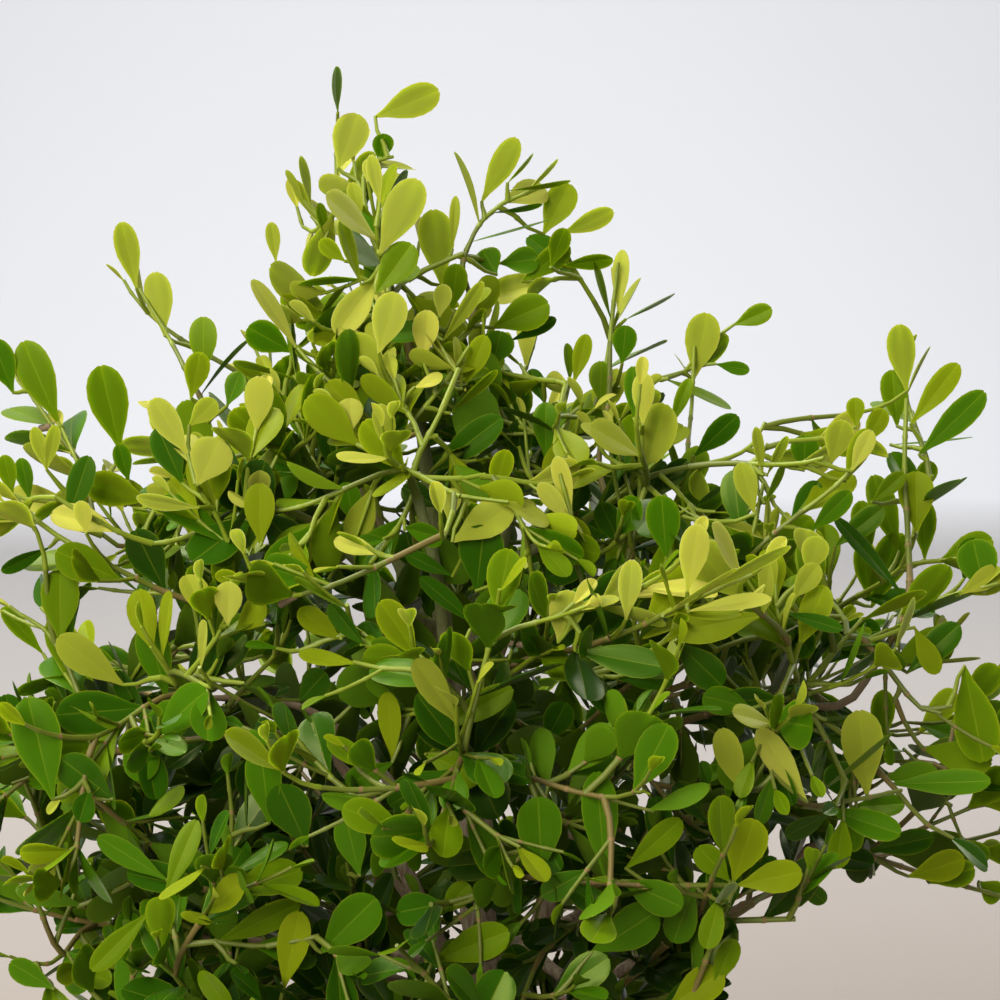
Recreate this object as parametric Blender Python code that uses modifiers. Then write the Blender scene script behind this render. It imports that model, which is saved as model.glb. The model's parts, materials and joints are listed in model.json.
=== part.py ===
"""Boxwood cone in a plain clay pot, built as separate limbs and masses of foliage.

The origin is the middle of the pot's flat underside, +Z is up, the front of the plant
faces -Y, and every length is in metres.

The trunk stands on the soil and forks. Its stems and boughs are single tapering limbs.
Each mass of foliage grows from the tip of one limb and keeps to its own space, the part
of the crown that lies nearer its middle than any other's. Inside a mass, twigs reach for
shoot tips that are spread over the outline of the crown, each from the nearest wood that
it can leave at an easy angle, and opposite pairs of leaves sit along the end of each twig.
"""

import math
import random
from typing import NamedTuple

import bmesh
import bpy
import numpy as np
from mathutils import Matrix, Quaternion, Vector

# ---- clearances -----------------------------------------------------------------------
CLEARANCE = 0.0003          # gap between two pieces that touch
SIDE_CLEARANCE = 0.00036    # the same on a faceted side, whose flats lie farther in
POT_MARGIN = 0.003          # least distance from a leaf to the pot
ROOT_REACH = 0.0035         # wood this near a mass's root may touch its limb's end
SPACE_MARGIN = 0.0006       # least distance from a mass to the edge of its own space
LIMB_MARGIN = 0.0012        # least distance from a leaf or twig to a limb

# ---- pot and soil ---------------------------------------------------------------------
POT_HEIGHT = 0.128
POT_TOP_RADIUS = 0.076
POT_BASE_RADIUS = 0.051
POT_WALL = 0.006
POT_FLOOR = 0.008
POT_EDGE = 0.0015           # bevel of the pot's lip and foot
RIM_HEIGHT = 0.026
RIM_STEP = 0.0045           # how far the rim band stands proud of the wall
TURNED_STEPS = 36
DRAIN_RADIUS = 0.004
DRAIN_RING_RADIUS = 0.025
DRAIN_COUNT = 3
DRAIN_FIRST = 0.3           # place of the first drain hole, as a share of their spacing
DRAIN_SIDES = 12
SOIL_TOP = 0.112

# ---- limbs ----------------------------------------------------------------------------
TRUNK_PROFILE = (           # height above the soil and radius, from root flare to fork
    (0.000, 0.0105), (0.003, 0.0080), (0.009, 0.0070), (0.020, 0.0066), (0.034, 0.0061),
    (0.0455, 0.0056),
)
TRUNK_LEAN = -0.004
TRUNK_SIDES = 12
LIMB_SIDES = 6
LEADER_RADIUS = 0.0042
STEM_RADIUS = 0.0032
BOUGH_RADIUS = 0.0021
LIMB_TIP_RADIUS = 0.0014
LIMB_POINTS = 6
LIMB_SPREAD = 0.8           # how much farther out a limb sets off than its tip lies

# ---- crown ----------------------------------------------------------------------------
CROWN_OUTLINE = (           # height and radius that the tips of the shoots reach
    (0.128, 0.090), (0.150, 0.120), (0.180, 0.140), (0.215, 0.144), (0.250, 0.130),
    (0.280, 0.100), (0.305, 0.070), (0.325, 0.046), (0.345, 0.028), (0.370, 0.010),
)
CROWN_GAPS = (              # across and up: where no spread shoot ends, from front to back
    ((-0.200, -0.085), (0.236, 0.266)), ((0.054, 0.200), (0.000, 0.196)),
)
OUTLINE_SAMPLES = 200
CROWN_BOTTOM = 0.138
CROWN_TOP = 0.364
CROWN_LEAN = -0.030         # how far the tip of the crown stands to the left
LEAN_START = 0.190          # height from which the crown leans
SHOOT_COUNT = 158           # shoot tips spread evenly over the outline
SHOOT_SPACING = 0.024       # least distance between a spread tip and a leading one
SHOOT_DEPTH = 0.012         # how far spread tips lie inside the outline, at most
GOLDEN_ANGLE = math.pi * (3.0 - math.sqrt(5.0))
SHOOT_SWAY = 0.12           # random turn of a spread tip round the crown, in radians
SHOOT_LIFT = 0.5            # random upward lean of a spread tip, at most
CROWN_LIFT = 1.6            # upward lean that the tips gain from the crown's foot to its top

# ---- twigs and leaves -----------------------------------------------------------------
TWIG_POINTS = 3
TWIG_SIDES = 3
STEM_POINTS = 4             # points of a mass's stem after its straight start
STEM_STRAIGHT = 0.003
TWIG_TIP_RADIUS = 0.0011
TWIG_LEAST_RADIUS = 0.0013
TWIG_TAPER = 0.75           # radius of a twig over that of the wood it leaves
EASY_ANGLE = math.radians(50.0)
WIDE_COST = 2.0             # how much farther wood counts that would be left at a wider angle
FORK_PLACES = (0.15, 0.25, 0.35, 0.45, 0.55, 0.65, 0.75)    # along a twig
FORK_FOLLOW = 0.5           # how far a twig sets off along the wood that it leaves
LEAF_LENGTH = 0.031
LEAF_WIDTH = 0.0165
LEAF_WIDEST = 0.62          # where a blade is widest, from its root to its tip
LEAF_BLUNTNESS = 0.45       # width of the blunt tip over the greatest width
LEAF_ARCH = 0.0018          # how far the widest part stands above root and tip
LEAF_KEEL = 0.0010          # how far the keel hangs below the root
LEAF_KEEL_PLACE = 0.20
LEAF_ROOT = 0.0006          # how far a leaf starts behind its twig's axis
LEAF_SPACING = 0.009        # least distance between the middles of two blades
PAIR_SPACING = 0.017
MOST_PAIRS = 2              # pairs of leaves behind the tuft at a twig's tip
TUFT_SETBACK = 0.0018       # from a twig's tip back to its tuft
LEAFY_SHARE = 0.72          # share of a twig that bears leaves
BARE_FRACTION = 0.12        # no leaf sits nearer to a twig's start
OPEN_ANGLES = (28.0, 42.0)  # between a leaf and its twig, in degrees
OPEN_PER_PAIR = 10.0        # how much wider each pair stands open than the one above it
LEAF_SKEW = 0.25            # random turn of a leaf round its twig, in radians
LEAF_LIGHT = 0.35           # how far upper sides turn up to the light
LEAF_SCALES = (0.86, 1.08)
CROWN_SEED = 20


class Limb(NamedTuple):
    """One tapering limb: where it leaves its parent, and where it ends."""

    parent: str
    fraction: float
    mass: str
    radius: float


class Ring(NamedTuple):
    """A ring of foliage masses round the crown."""

    name: str
    count: int
    height: float
    reach: float
    first_azimuth: float
    root_reach: float
    root_drop: float


class Shoot(NamedTuple):
    """The tip of a shoot and the way that it points."""

    tip: Vector
    heading: Vector


RINGS = (
    Ring("lower", 6, 0.172, 0.100, 0.0, 0.044, 0.012),
    Ring("middle", 6, 0.238, 0.098, 30.0, 0.042, 0.024),
    Ring("upper", 5, 0.304, 0.060, 54.0, 0.030, 0.030),
)
TOP_HEIGHT = 0.360
TOP_ROOT_HEIGHT = 0.318
FRONT_ROOT = ("upper_4", Vector((-0.020, -0.050, 0.290)))   # it stands farther out
FRONT_RISE = Vector((-0.35, 0.0, 1.0))                      # and its bough ends steeply

# Every limb but the trunk: its parent, how far along that it starts, the mass that it
# carries and its radius where it starts.
LIMBS = {
    "leader": Limb("trunk", 1.0, "top", LEADER_RADIUS),
    "stem_back": Limb("trunk", 0.72, "middle_2", STEM_RADIUS),
    "stem_left": Limb("trunk", 0.78, "middle_4", STEM_RADIUS),
    "stem_right": Limb("trunk", 0.84, "middle_6", STEM_RADIUS),
    "bough_front": Limb("leader", 0.12, "middle_5", BOUGH_RADIUS),
    "bough_right_back": Limb("stem_right", 0.42, "middle_1", BOUGH_RADIUS),
    "bough_left_back": Limb("stem_back", 0.46, "middle_3", BOUGH_RADIUS),
    "bough_low_right": Limb("trunk", 0.56, "lower_1", BOUGH_RADIUS),
    "bough_low_back": Limb("stem_back", 0.24, "lower_2", BOUGH_RADIUS),
    "bough_low_back_left": Limb("trunk", 0.60, "lower_3", BOUGH_RADIUS),
    "bough_low_left": Limb("stem_left", 0.24, "lower_4", BOUGH_RADIUS),
    "bough_low_front_left": Limb("trunk", 0.64, "lower_5", BOUGH_RADIUS),
    "bough_low_front_right": Limb("stem_right", 0.24, "lower_6", BOUGH_RADIUS),
    "bough_high_back_right": Limb("leader", 0.46, "upper_1", BOUGH_RADIUS),
    "bough_high_back_left": Limb("leader", 0.51, "upper_2", BOUGH_RADIUS),
    "bough_high_left": Limb("leader", 0.56, "upper_3", BOUGH_RADIUS),
    "bough_high_front": Limb("leader", 0.30, "upper_4", BOUGH_RADIUS),
    "bough_high_right": Limb("leader", 0.66, "upper_5", BOUGH_RADIUS),
}

# The shoots that lead the outline: tip (across, depth, height), then the azimuth and the
# elevation that each points at, in degrees; azimuth 0 is to the right, 90 to the back.
LEADING_SHOOTS = (
    ((-0.038, 0.015, 0.370), 180.0, 82.0),
    ((-0.029, 0.012, 0.376), 15.0, 0.0),
    ((-0.054, 0.030, 0.358), 170.0, 78.0),
    ((-0.057, 0.000, 0.342), 180.0, 78.0),
    ((-0.031, -0.032, 0.360), 190.0, 86.0),
    ((0.004, 0.010, 0.360), 10.0, 60.0),
    ((0.022, 0.028, 0.356), 10.0, 8.0),
    ((0.033, 0.042, 0.334), 0.0, 84.0),
    ((0.022, 0.000, 0.326), 0.0, 74.0),
    ((0.056, 0.048, 0.320), 0.0, 76.0),
    ((0.062, 0.030, 0.318), 5.0, 20.0),
    ((-0.102, 0.038, 0.338), 170.0, 55.0),
    ((0.114, 0.030, 0.316), 20.0, 84.0),
    ((0.122, 0.012, 0.296), 0.0, 62.0),
    ((0.118, 0.020, 0.272), 0.0, 70.0),
    ((-0.128, 0.002, 0.316), 175.0, 55.0),
    ((0.092, -0.040, 0.304), -20.0, 45.0),
    ((0.036, -0.050, 0.314), 0.0, 80.0),
    ((-0.005, -0.035, 0.336), -60.0, 65.0),
    ((-0.067, -0.050, 0.316), 190.0, 30.0),
    ((-0.050, -0.042, 0.330), 200.0, 45.0),
    ((0.061, -0.108, 0.278), -40.0, 25.0),
    ((-0.122, -0.050, 0.286), 185.0, 25.0),
    ((-0.122, -0.040, 0.258), 180.0, 20.0),
    ((-0.106, -0.090, 0.234), 220.0, 15.0),
    ((-0.086, -0.070, 0.256), 215.0, 50.0),
    ((0.097, -0.080, 0.216), -30.0, 12.0),
    ((0.132, 0.000, 0.266), 0.0, 30.0),
    ((0.138, 0.045, 0.178), 15.0, -5.0),
    ((0.063, -0.104, 0.198), -50.0, 5.0),
    ((-0.090, 0.020, 0.308), 170.0, 65.0),
    ((0.072, 0.000, 0.304), 10.0, 70.0),
)


# ---- the crown's outline --------------------------------------------------------------
def crown_radius(height):
    """Radius of the crown's outline at a height."""
    heights, radii = zip(*CROWN_OUTLINE)
    return float(np.interp(height, heights, radii))


def crown_axis(height):
    """Middle of the crown at a height, on an axis that leans from LEAN_START up."""
    rise = max(0.0, height - LEAN_START) / (CROWN_TOP - LEAN_START)
    return Vector((CROWN_LEAN * rise, 0.0, height))


def around(azimuth, reach, height):
    """The point at an azimuth in degrees and a reach from the crown's axis."""
    turn = math.radians(azimuth)
    return crown_axis(height) + Vector((math.cos(turn), math.sin(turn), 0.0)) * reach


def direction(azimuth, elevation):
    """Unit vector at an azimuth and an elevation in degrees."""
    turn, lift = math.radians(azimuth), math.radians(elevation)
    return Vector((math.cos(turn) * math.cos(lift), math.sin(turn) * math.cos(lift),
                   math.sin(lift)))


def in_gap(point):
    """True where a point lies in one of the crown's gaps."""
    return any(left < point.x < right and low < point.z < high
               for (left, right), (low, high) in CROWN_GAPS)


def spread_shoots():
    """Shoot tips spread evenly over the outline by the golden angle.

    Their heights follow the outline's area, so that each tip has the same patch of it.
    """
    rng = random.Random(CROWN_SEED)
    heights = np.linspace(CROWN_BOTTOM, CROWN_TOP, OUTLINE_SAMPLES)
    radii = np.array([crown_radius(height) for height in heights])
    slope = np.gradient(radii, heights)
    area = np.cumsum(radii * np.sqrt(1.0 + slope ** 2))
    area = (area - area[0]) / (area[-1] - area[0])
    shoots = []
    for index in range(SHOOT_COUNT):
        height = float(np.interp((index + 0.5) / SHOOT_COUNT, area, heights))
        turn = index * GOLDEN_ANGLE + rng.uniform(-SHOOT_SWAY, SHOOT_SWAY)
        reach = crown_radius(height) - rng.uniform(0.0, SHOOT_DEPTH)
        outward = Vector((math.cos(turn), math.sin(turn), 0.0))
        tip = crown_axis(height) + outward * reach
        rise = (height - CROWN_BOTTOM) / (CROWN_TOP - CROWN_BOTTOM)
        lift = rng.uniform(0.0, SHOOT_LIFT) + CROWN_LIFT * rise
        heading = outward + Vector((0.0, 0.0, lift))
        if not in_gap(tip):
            shoots.append(Shoot(tip, heading.normalized()))
    return shoots


def all_shoots():
    """The leading shoots, then the spread ones that are clear of them."""
    leading = [Shoot(Vector(tip), direction(azimuth, elevation))
               for tip, azimuth, elevation in LEADING_SHOOTS]
    spread = [shoot for shoot in spread_shoots()
              if all((shoot.tip - lead.tip).length > SHOOT_SPACING for lead in leading)]
    return leading + spread


# ---- masses ---------------------------------------------------------------------------
def mass_layout():
    """Middle and root of each foliage mass, by name."""
    masses = {"top": (crown_axis(TOP_HEIGHT), crown_axis(TOP_ROOT_HEIGHT))}
    for ring in RINGS:
        for index in range(ring.count):
            azimuth = ring.first_azimuth + index * 360.0 / ring.count
            middle = around(azimuth, ring.reach, ring.height)
            root = around(azimuth, ring.root_reach, ring.height - ring.root_drop)
            masses[f"{ring.name}_{index + 1}"] = (middle, root)
    name, root = FRONT_ROOT
    masses[name] = (masses[name][0], root)
    return masses


def nearest_mass(point, masses):
    """Name of the mass whose middle is nearest a point."""
    return min(masses, key=lambda name: (masses[name][0] - point).length)


def inside_space(point, name, masses):
    """True where a point lies in the mass's own space, clear of its neighbours'."""
    middle = masses[name][0]
    for other, (other_middle, _) in masses.items():
        if other == name:
            continue
        across = other_middle - middle
        beyond = (point - (middle + other_middle) * 0.5).dot(across.normalized())
        if beyond > -SPACE_MARGIN:
            return False
    return True


# ---- paths ----------------------------------------------------------------------------
def curved_path(start, start_heading, tip, tip_heading, count):
    """Points on the cubic that leaves start and reaches tip at the given headings."""
    reach = (tip - start).length
    leave, arrive = start_heading * reach, tip_heading * reach
    points = []
    for step in range(count):
        t = step / (count - 1)
        points.append(start * (2 * t ** 3 - 3 * t ** 2 + 1) + leave * (t ** 3 - 2 * t ** 2 + t)
                      + tip * (3 * t ** 2 - 2 * t ** 3) + arrive * (t ** 3 - t ** 2))
    return points


def point_along(path, fraction):
    """Point and heading at a fraction of a path's point count."""
    place = fraction * (len(path) - 1)
    index = min(int(place), len(path) - 2)
    heading = (path[index + 1] - path[index]).normalized()
    return path[index].lerp(path[index + 1], place - index), heading


def distance_to_path(point, path):
    """Distance from a point to the nearest stretch of a path."""
    nearest = math.inf
    for start, end in zip(path, path[1:]):
        run = end - start
        t = min(1.0, max(0.0, (point - start).dot(run) / run.length_squared))
        nearest = min(nearest, (point - start - run * t).length)
    return nearest


# ---- objects --------------------------------------------------------------------------
def make_material(name, colour, roughness):
    """A Principled material of one colour."""
    material = bpy.data.materials.new(name)
    material.use_nodes = True
    shader = material.node_tree.nodes["Principled BSDF"]
    shader.inputs["Base Color"].default_value = (*colour, 1.0)
    shader.inputs["Roughness"].default_value = roughness
    shader.inputs["Metallic"].default_value = 0.0
    return material


def make_collection(name):
    """A collection in the scene."""
    collection = bpy.data.collections.new(name)
    bpy.context.scene.collection.children.link(collection)
    return collection


def add_object(name, mesh, collection, material=None):
    """An object for a mesh, in a collection."""
    obj = bpy.data.objects.new(name, mesh)
    collection.objects.link(obj)
    if material:
        mesh.materials.clear()
        mesh.materials.append(material)
    return obj


def evaluated_mesh(obj, name, face_out=False):
    """A mesh of an object with its modifiers applied and its doubles merged.

    face_out turns the faces outwards, for a curve whose caps face the other way.
    """
    bpy.context.view_layer.update()
    graph = bpy.context.evaluated_depsgraph_get()
    mesh = bpy.data.meshes.new_from_object(obj.evaluated_get(graph))
    mesh.name = name
    shape = bmesh.new()
    shape.from_mesh(mesh)
    bmesh.ops.remove_doubles(shape, verts=shape.verts, dist=1e-6)
    if face_out:
        bmesh.ops.recalc_face_normals(shape, faces=shape.faces)
    shape.to_mesh(mesh)
    shape.free()
    return mesh


def apply_modifiers(obj):
    """Replace an object's mesh by what its modifiers make of it."""
    obj.data = evaluated_mesh(obj, obj.name)
    obj.modifiers.clear()


def keep_main_body(mesh):
    """Drop all but a mesh's largest body: loose scraps, and the skins of sealed hollows."""
    shape = bmesh.new()
    shape.from_mesh(mesh)
    unseen = set(shape.verts)
    bodies = []
    while unseen:
        front = [unseen.pop()]
        body = set(front)
        while front:
            vert = front.pop()
            for edge in vert.link_edges:
                other = edge.other_vert(vert)
                if other in unseen:
                    unseen.remove(other)
                    body.add(other)
                    front.append(other)
        bodies.append(body)
    bodies.sort(key=len)
    scraps = [vert for body in bodies[:-1] for vert in body]
    bmesh.ops.delete(shape, geom=scraps, context="VERTS")
    shape.to_mesh(mesh)
    shape.free()


def remove_object(obj):
    """Remove an object and its mesh or curve."""
    data = obj.data
    store = bpy.data.meshes if isinstance(data, bpy.types.Mesh) else bpy.data.curves
    bpy.data.objects.remove(obj)
    store.remove(data)


def turned_object(name, profile, collection, material):
    """A closed turned shape: a profile of (radius, height) carried round the Z axis."""
    mesh = bpy.data.meshes.new(name)
    points = [(radius, 0.0, height) for radius, height in profile]
    mesh.from_pydata(points, [(i, i + 1) for i in range(len(points) - 1)], [])
    obj = add_object(name, mesh, collection)
    screw = obj.modifiers.new("turn", "SCREW")
    screw.steps = TURNED_STEPS
    screw.render_steps = TURNED_STEPS
    screw.use_merge_vertices = True
    screw.merge_threshold = 1e-5
    screw.use_smooth_shade = False
    apply_modifiers(obj)
    obj.data.materials.append(material)
    return obj


def section_curve(sides):
    """A flat closed curve with a few sides, the cross-section of a twig."""
    curve = bpy.data.curves.new("section", "CURVE")
    spline = curve.splines.new("POLY")
    spline.points.add(sides - 1)
    for index, point in enumerate(spline.points):
        turn = 2.0 * math.pi * index / sides
        point.co = (math.cos(turn), math.sin(turn), 0.0, 1.0)
    spline.use_cyclic_u = True
    return bpy.data.objects.new("section", curve)


def tube_mesh(name, path, radii, sides):
    """A closed tapering tube along a path, with a radius for each of its points."""
    curve = bpy.data.curves.new(name, "CURVE")
    curve.dimensions = "3D"
    section = section_curve(sides)
    curve.bevel_mode = "OBJECT"
    curve.bevel_object = section
    curve.use_fill_caps = True
    spline = curve.splines.new("POLY")
    spline.points.add(len(path) - 1)
    for point, place, radius in zip(spline.points, path, radii):
        point.co = (*place, 1.0)
        point.radius = radius
    obj = bpy.data.objects.new(name, curve)
    bpy.context.scene.collection.objects.link(obj)
    mesh = evaluated_mesh(obj, name, face_out=True)
    remove_object(obj)
    remove_object(section)
    return mesh


def add_boolean(obj, operation, cutter=None, collection=None):
    """A Boolean modifier with one other object or a collection of them."""
    cut = obj.modifiers.new(operation.lower(), "BOOLEAN")
    cut.operation = operation
    if collection:
        cut.operand_type = "COLLECTION"
        cut.collection = collection
    else:
        cut.object = cutter
    return cut


# ---- pot and soil ---------------------------------------------------------------------
def wall_radius(height):
    """Outer radius of the pot's plain wall at a height."""
    top = POT_TOP_RADIUS - RIM_STEP
    return POT_BASE_RADIUS + (top - POT_BASE_RADIUS) * height / POT_HEIGHT


def inner_radius(height):
    """Inner radius of the pot at a height."""
    return wall_radius(height) - POT_WALL


def make_pot(parts, cutters):
    """The clay pot: a tapered wall, a rim band, a flat foot and drain holes off centre."""
    clay = make_material("terracotta", (0.52, 0.24, 0.14), 0.85)
    band = POT_HEIGHT - RIM_HEIGHT
    rim = wall_radius(band) + RIM_STEP
    lip = POT_HEIGHT - POT_EDGE
    profile = [
        (0.0, POT_FLOOR), (inner_radius(POT_FLOOR), POT_FLOOR), (inner_radius(lip), lip),
        (inner_radius(lip) + POT_EDGE, POT_HEIGHT), (POT_TOP_RADIUS - POT_EDGE, POT_HEIGHT),
        (POT_TOP_RADIUS, lip), (rim, band + POT_EDGE),
        (rim - POT_EDGE, band), (wall_radius(band), band), (wall_radius(POT_EDGE), POT_EDGE),
        (POT_BASE_RADIUS - POT_EDGE, 0.0), (0.0, 0.0),
    ]
    pot = turned_object("pot", profile, parts, clay)
    for index in range(DRAIN_COUNT):
        turn = 2.0 * math.pi * (index + DRAIN_FIRST) / DRAIN_COUNT
        bpy.ops.mesh.primitive_cylinder_add(
            vertices=DRAIN_SIDES, radius=DRAIN_RADIUS, depth=POT_FLOOR * 3.0,
            location=(DRAIN_RING_RADIUS * math.cos(turn),
                      DRAIN_RING_RADIUS * math.sin(turn), POT_FLOOR * 0.5))
        drain = bpy.context.object
        drain.name = f"drain_cutter_{index + 1}"
        for collection in list(drain.users_collection):
            collection.objects.unlink(drain)
        cutters.objects.link(drain)
        drain.hide_render = True
        drain.display_type = "WIRE"
        add_boolean(pot, "DIFFERENCE", cutter=drain)
    return pot


def make_soil(parts):
    """The potting soil: it fills the pot from its floor to just below the rim."""
    earth = make_material("potting_soil", (0.045, 0.030, 0.020), 0.95)
    bottom = POT_FLOOR + CLEARANCE
    profile = [
        (0.0, SOIL_TOP), (inner_radius(SOIL_TOP) - SIDE_CLEARANCE, SOIL_TOP),
        (inner_radius(bottom) - SIDE_CLEARANCE, bottom), (0.0, bottom),
    ]
    return turned_object("soil", profile, parts, earth)


# ---- limbs ----------------------------------------------------------------------------
def trunk_form():
    """Path and radii of the trunk, from its flat cut on the soil to its fork."""
    fork = TRUNK_PROFILE[-1][0]
    path = [Vector((TRUNK_LEAN * (rise / fork) ** 2, 0.0, SOIL_TOP + CLEARANCE + rise))
            for rise, _ in TRUNK_PROFILE]
    return path, [radius for _, radius in TRUNK_PROFILE]


def limb_forms(masses):
    """Path and radii of every limb, by name; a limb starts on its parent's axis."""
    forms = {"trunk": trunk_form()}
    for name, limb in LIMBS.items():
        path, _ = forms[limb.parent]
        start, along = point_along(path, limb.fraction)
        middle, root = masses[limb.mass]
        run = root - start
        outward = Vector((run.x, run.y, 0.0)).normalized()
        if limb.fraction == 1.0:
            start = start + along * CLEARANCE
            leave = along
        else:
            leave = (run.normalized() + outward * LIMB_SPREAD).normalized()
        arrive = ((middle - root).normalized() + run.normalized()).normalized()
        if limb.mass == FRONT_ROOT[0]:
            arrive = FRONT_RISE.normalized()
        new_path = curved_path(start, leave, root, arrive, LIMB_POINTS)
        radii = np.linspace(limb.radius, LIMB_TIP_RADIUS, LIMB_POINTS)
        forms[name] = (new_path, [float(radius) for radius in radii])
    return forms


def make_limbs(forms, parts):
    """The trunk, stems and boughs, each cut clear of the limb that it grows from."""
    bark = make_material("bark", (0.36, 0.26, 0.16), 0.8)
    for name, (path, radii) in forms.items():
        sides = TRUNK_SIDES if name == "trunk" else LIMB_SIDES
        obj = add_object(name, tube_mesh(name, path, radii, sides), parts, bark)
        limb = LIMBS.get(name)
        if not limb or limb.fraction == 1.0:
            continue
        parent_path, parent_radii = forms[limb.parent]
        wide = [radius + SIDE_CLEARANCE for radius in parent_radii]
        sides = TRUNK_SIDES if limb.parent == "trunk" else LIMB_SIDES
        around_parent = add_object("around_parent",
                                   tube_mesh("around_parent", parent_path, wide, sides), parts)
        add_boolean(obj, "DIFFERENCE", cutter=around_parent)
        apply_modifiers(obj)
        remove_object(around_parent)


# ---- foliage --------------------------------------------------------------------------
LEAF_FACES = (              # upper side, then the keeled underside
    (0, 1, 2), (2, 1, 3), (2, 3, 4),
    (5, 1, 0), (5, 3, 1), (5, 4, 3), (5, 2, 4), (5, 0, 2),
)


def leaf_points(scale):
    """The six corners of a leaf that lies along +Y with its upper side to +Z.

    From its root the blade widens to six tenths of its length, where it stands highest,
    and bends down to a blunt tip. A keel runs out from the root under its middle.
    """
    length, half = LEAF_LENGTH * scale, LEAF_WIDTH * scale * 0.5
    widest = LEAF_WIDEST * length
    return [
        Vector((0.0, 0.0, 0.0)),
        Vector((half, widest, LEAF_ARCH)), Vector((-half, widest, LEAF_ARCH)),
        Vector((LEAF_BLUNTNESS * half, length, 0.0)),
        Vector((-LEAF_BLUNTNESS * half, length, 0.0)),
        Vector((0.0, LEAF_KEEL_PLACE * length, -LEAF_KEEL)),
    ]


def leaf_frame(base, along, upper):
    """Matrix that lays a leaf at base, pointing along, with its upper side to upper."""
    forward = along.normalized()
    side = forward.cross(upper).normalized()
    face = side.cross(forward)
    frame = Matrix((side, forward, face)).transposed().to_4x4()
    frame.translation = base
    return frame


def leaf_places(path, rng):
    """Frames and scales of the leaves on a twig: a tuft at its tip, then opposite pairs.

    Each pair stands a quarter turn round from the one above it.
    """
    length = sum((b - a).length for a, b in zip(path, path[1:]))
    places = []
    phase = rng.uniform(0.0, math.pi)
    tiers = 1 + min(MOST_PAIRS, int(LEAFY_SHARE * length / PAIR_SPACING))
    for tier in range(tiers):
        back = TUFT_SETBACK + tier * PAIR_SPACING
        centre, along = point_along(path, max(BARE_FRACTION, 1.0 - back / length))
        across = along.orthogonal().normalized()
        across.rotate(Quaternion(along, phase + tier * math.pi / 2.0))
        for side in (1.0, -1.0):
            opening = math.radians(rng.uniform(*OPEN_ANGLES) + OPEN_PER_PAIR * tier)
            outward = across * side
            outward.rotate(Quaternion(along, rng.uniform(-LEAF_SKEW, LEAF_SKEW)))
            leaf_along = along * math.cos(opening) + outward * math.sin(opening)
            upper = along * math.sin(opening) - outward * math.cos(opening)
            upper += Vector((0.0, 0.0, LEAF_LIGHT))
            base = centre - leaf_along * LEAF_ROOT
            places.append((leaf_frame(base, leaf_along, upper), rng.uniform(*LEAF_SCALES)))
    return places


def clear_of_limbs(points, forms, root):
    """True where points are clear of every limb, but for those at the mass's root."""
    for path, radii in forms.values():
        reach = max(radii) + LIMB_MARGIN
        for point in points:
            if (point - root).length < ROOT_REACH:
                continue
            if distance_to_path(point, path) < reach:
                return False
    return True


def clear_of_pot(points):
    """True where points are above or outside the pot."""
    for point in points:
        reach = math.hypot(point.x, point.y)
        if point.z < POT_HEIGHT + POT_MARGIN and reach < POT_TOP_RADIUS + POT_MARGIN:
            return False
    return True


def twig_allowed(path, name, masses, forms):
    """True where a twig's path stays in its mass's space, off the limbs and the pot."""
    root = masses[name][1]
    fits = all(inside_space(point, name, masses) for point in path[1:])
    return fits and clear_of_pot(path) and clear_of_limbs(path, forms, root)


def stem_path(start, heading, tip, tip_heading):
    """Path of a mass's stem: straight out of the limb's end, then curved to its tip."""
    bend = start + heading * STEM_STRAIGHT
    return [start] + curved_path(bend, heading, tip, tip_heading, STEM_POINTS)


def best_fork(tip, twigs):
    """Point, heading and radius of the wood that a twig to a tip had best leave.

    It is the nearest wood, where wood that would have to be left at a wide angle counts
    as farther away.
    """
    forks = []
    for path, radii in twigs:
        for fraction in FORK_PLACES:
            point, along = point_along(path, fraction)
            run = tip - point
            excess = max(0.0, along.angle(run) - EASY_ANGLE)
            cost = run.length * (1.0 + WIDE_COST * excess ** 2)
            radius = float(np.interp(fraction * (len(radii) - 1), range(len(radii)), radii))
            forks.append((cost, point, along, radius))
    return min(forks, key=lambda fork: fork[0])[1:]


def grow_twigs(name, shoots, masses, forms, limb_path):
    """Paths and radii of a mass's twigs.

    The stem goes from the root to the shoot that lies farthest along the mass's own
    direction. The other shoots follow, nearest first, each on a twig from the best fork
    in the wood grown so far. A twig that would leave the space or touch a limb is tried
    again with a straight end, and is left out if that doesn't fit either.
    """
    middle, root = masses[name]
    heading = (limb_path[-1] - limb_path[-2]).normalized()
    start = root + heading * CLEARANCE
    outward = (middle - root).normalized()
    own = [shoot for shoot in shoots if nearest_mass(shoot.tip, masses) == name
           and inside_space(shoot.tip, name, masses)]
    chief = max(own, key=lambda shoot: (shoot.tip - root).normalized().dot(outward))
    straight = (chief.tip - start).normalized()
    path = stem_path(start, heading, chief.tip, chief.heading)
    if not twig_allowed(path, name, masses, forms):
        path = stem_path(start, heading, chief.tip, straight)
    twigs = [(path, np.linspace(LIMB_TIP_RADIUS, TWIG_TIP_RADIUS, len(path)).tolist())]
    own.remove(chief)
    for shoot in sorted(own, key=lambda shoot: (shoot.tip - root).length):
        point, along, radius = best_fork(shoot.tip, twigs)
        straight = (shoot.tip - point).normalized()
        leave = (straight + along * FORK_FOLLOW).normalized()
        for arrive in (shoot.heading, straight):
            path = curved_path(point, leave, shoot.tip, arrive, TWIG_POINTS)
            if twig_allowed(path, name, masses, forms):
                thick = max(TWIG_LEAST_RADIUS, radius * TWIG_TAPER)
                radii = np.linspace(thick, TWIG_TIP_RADIUS, TWIG_POINTS).tolist()
                twigs.append((path, radii))
                break
    return twigs


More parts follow.
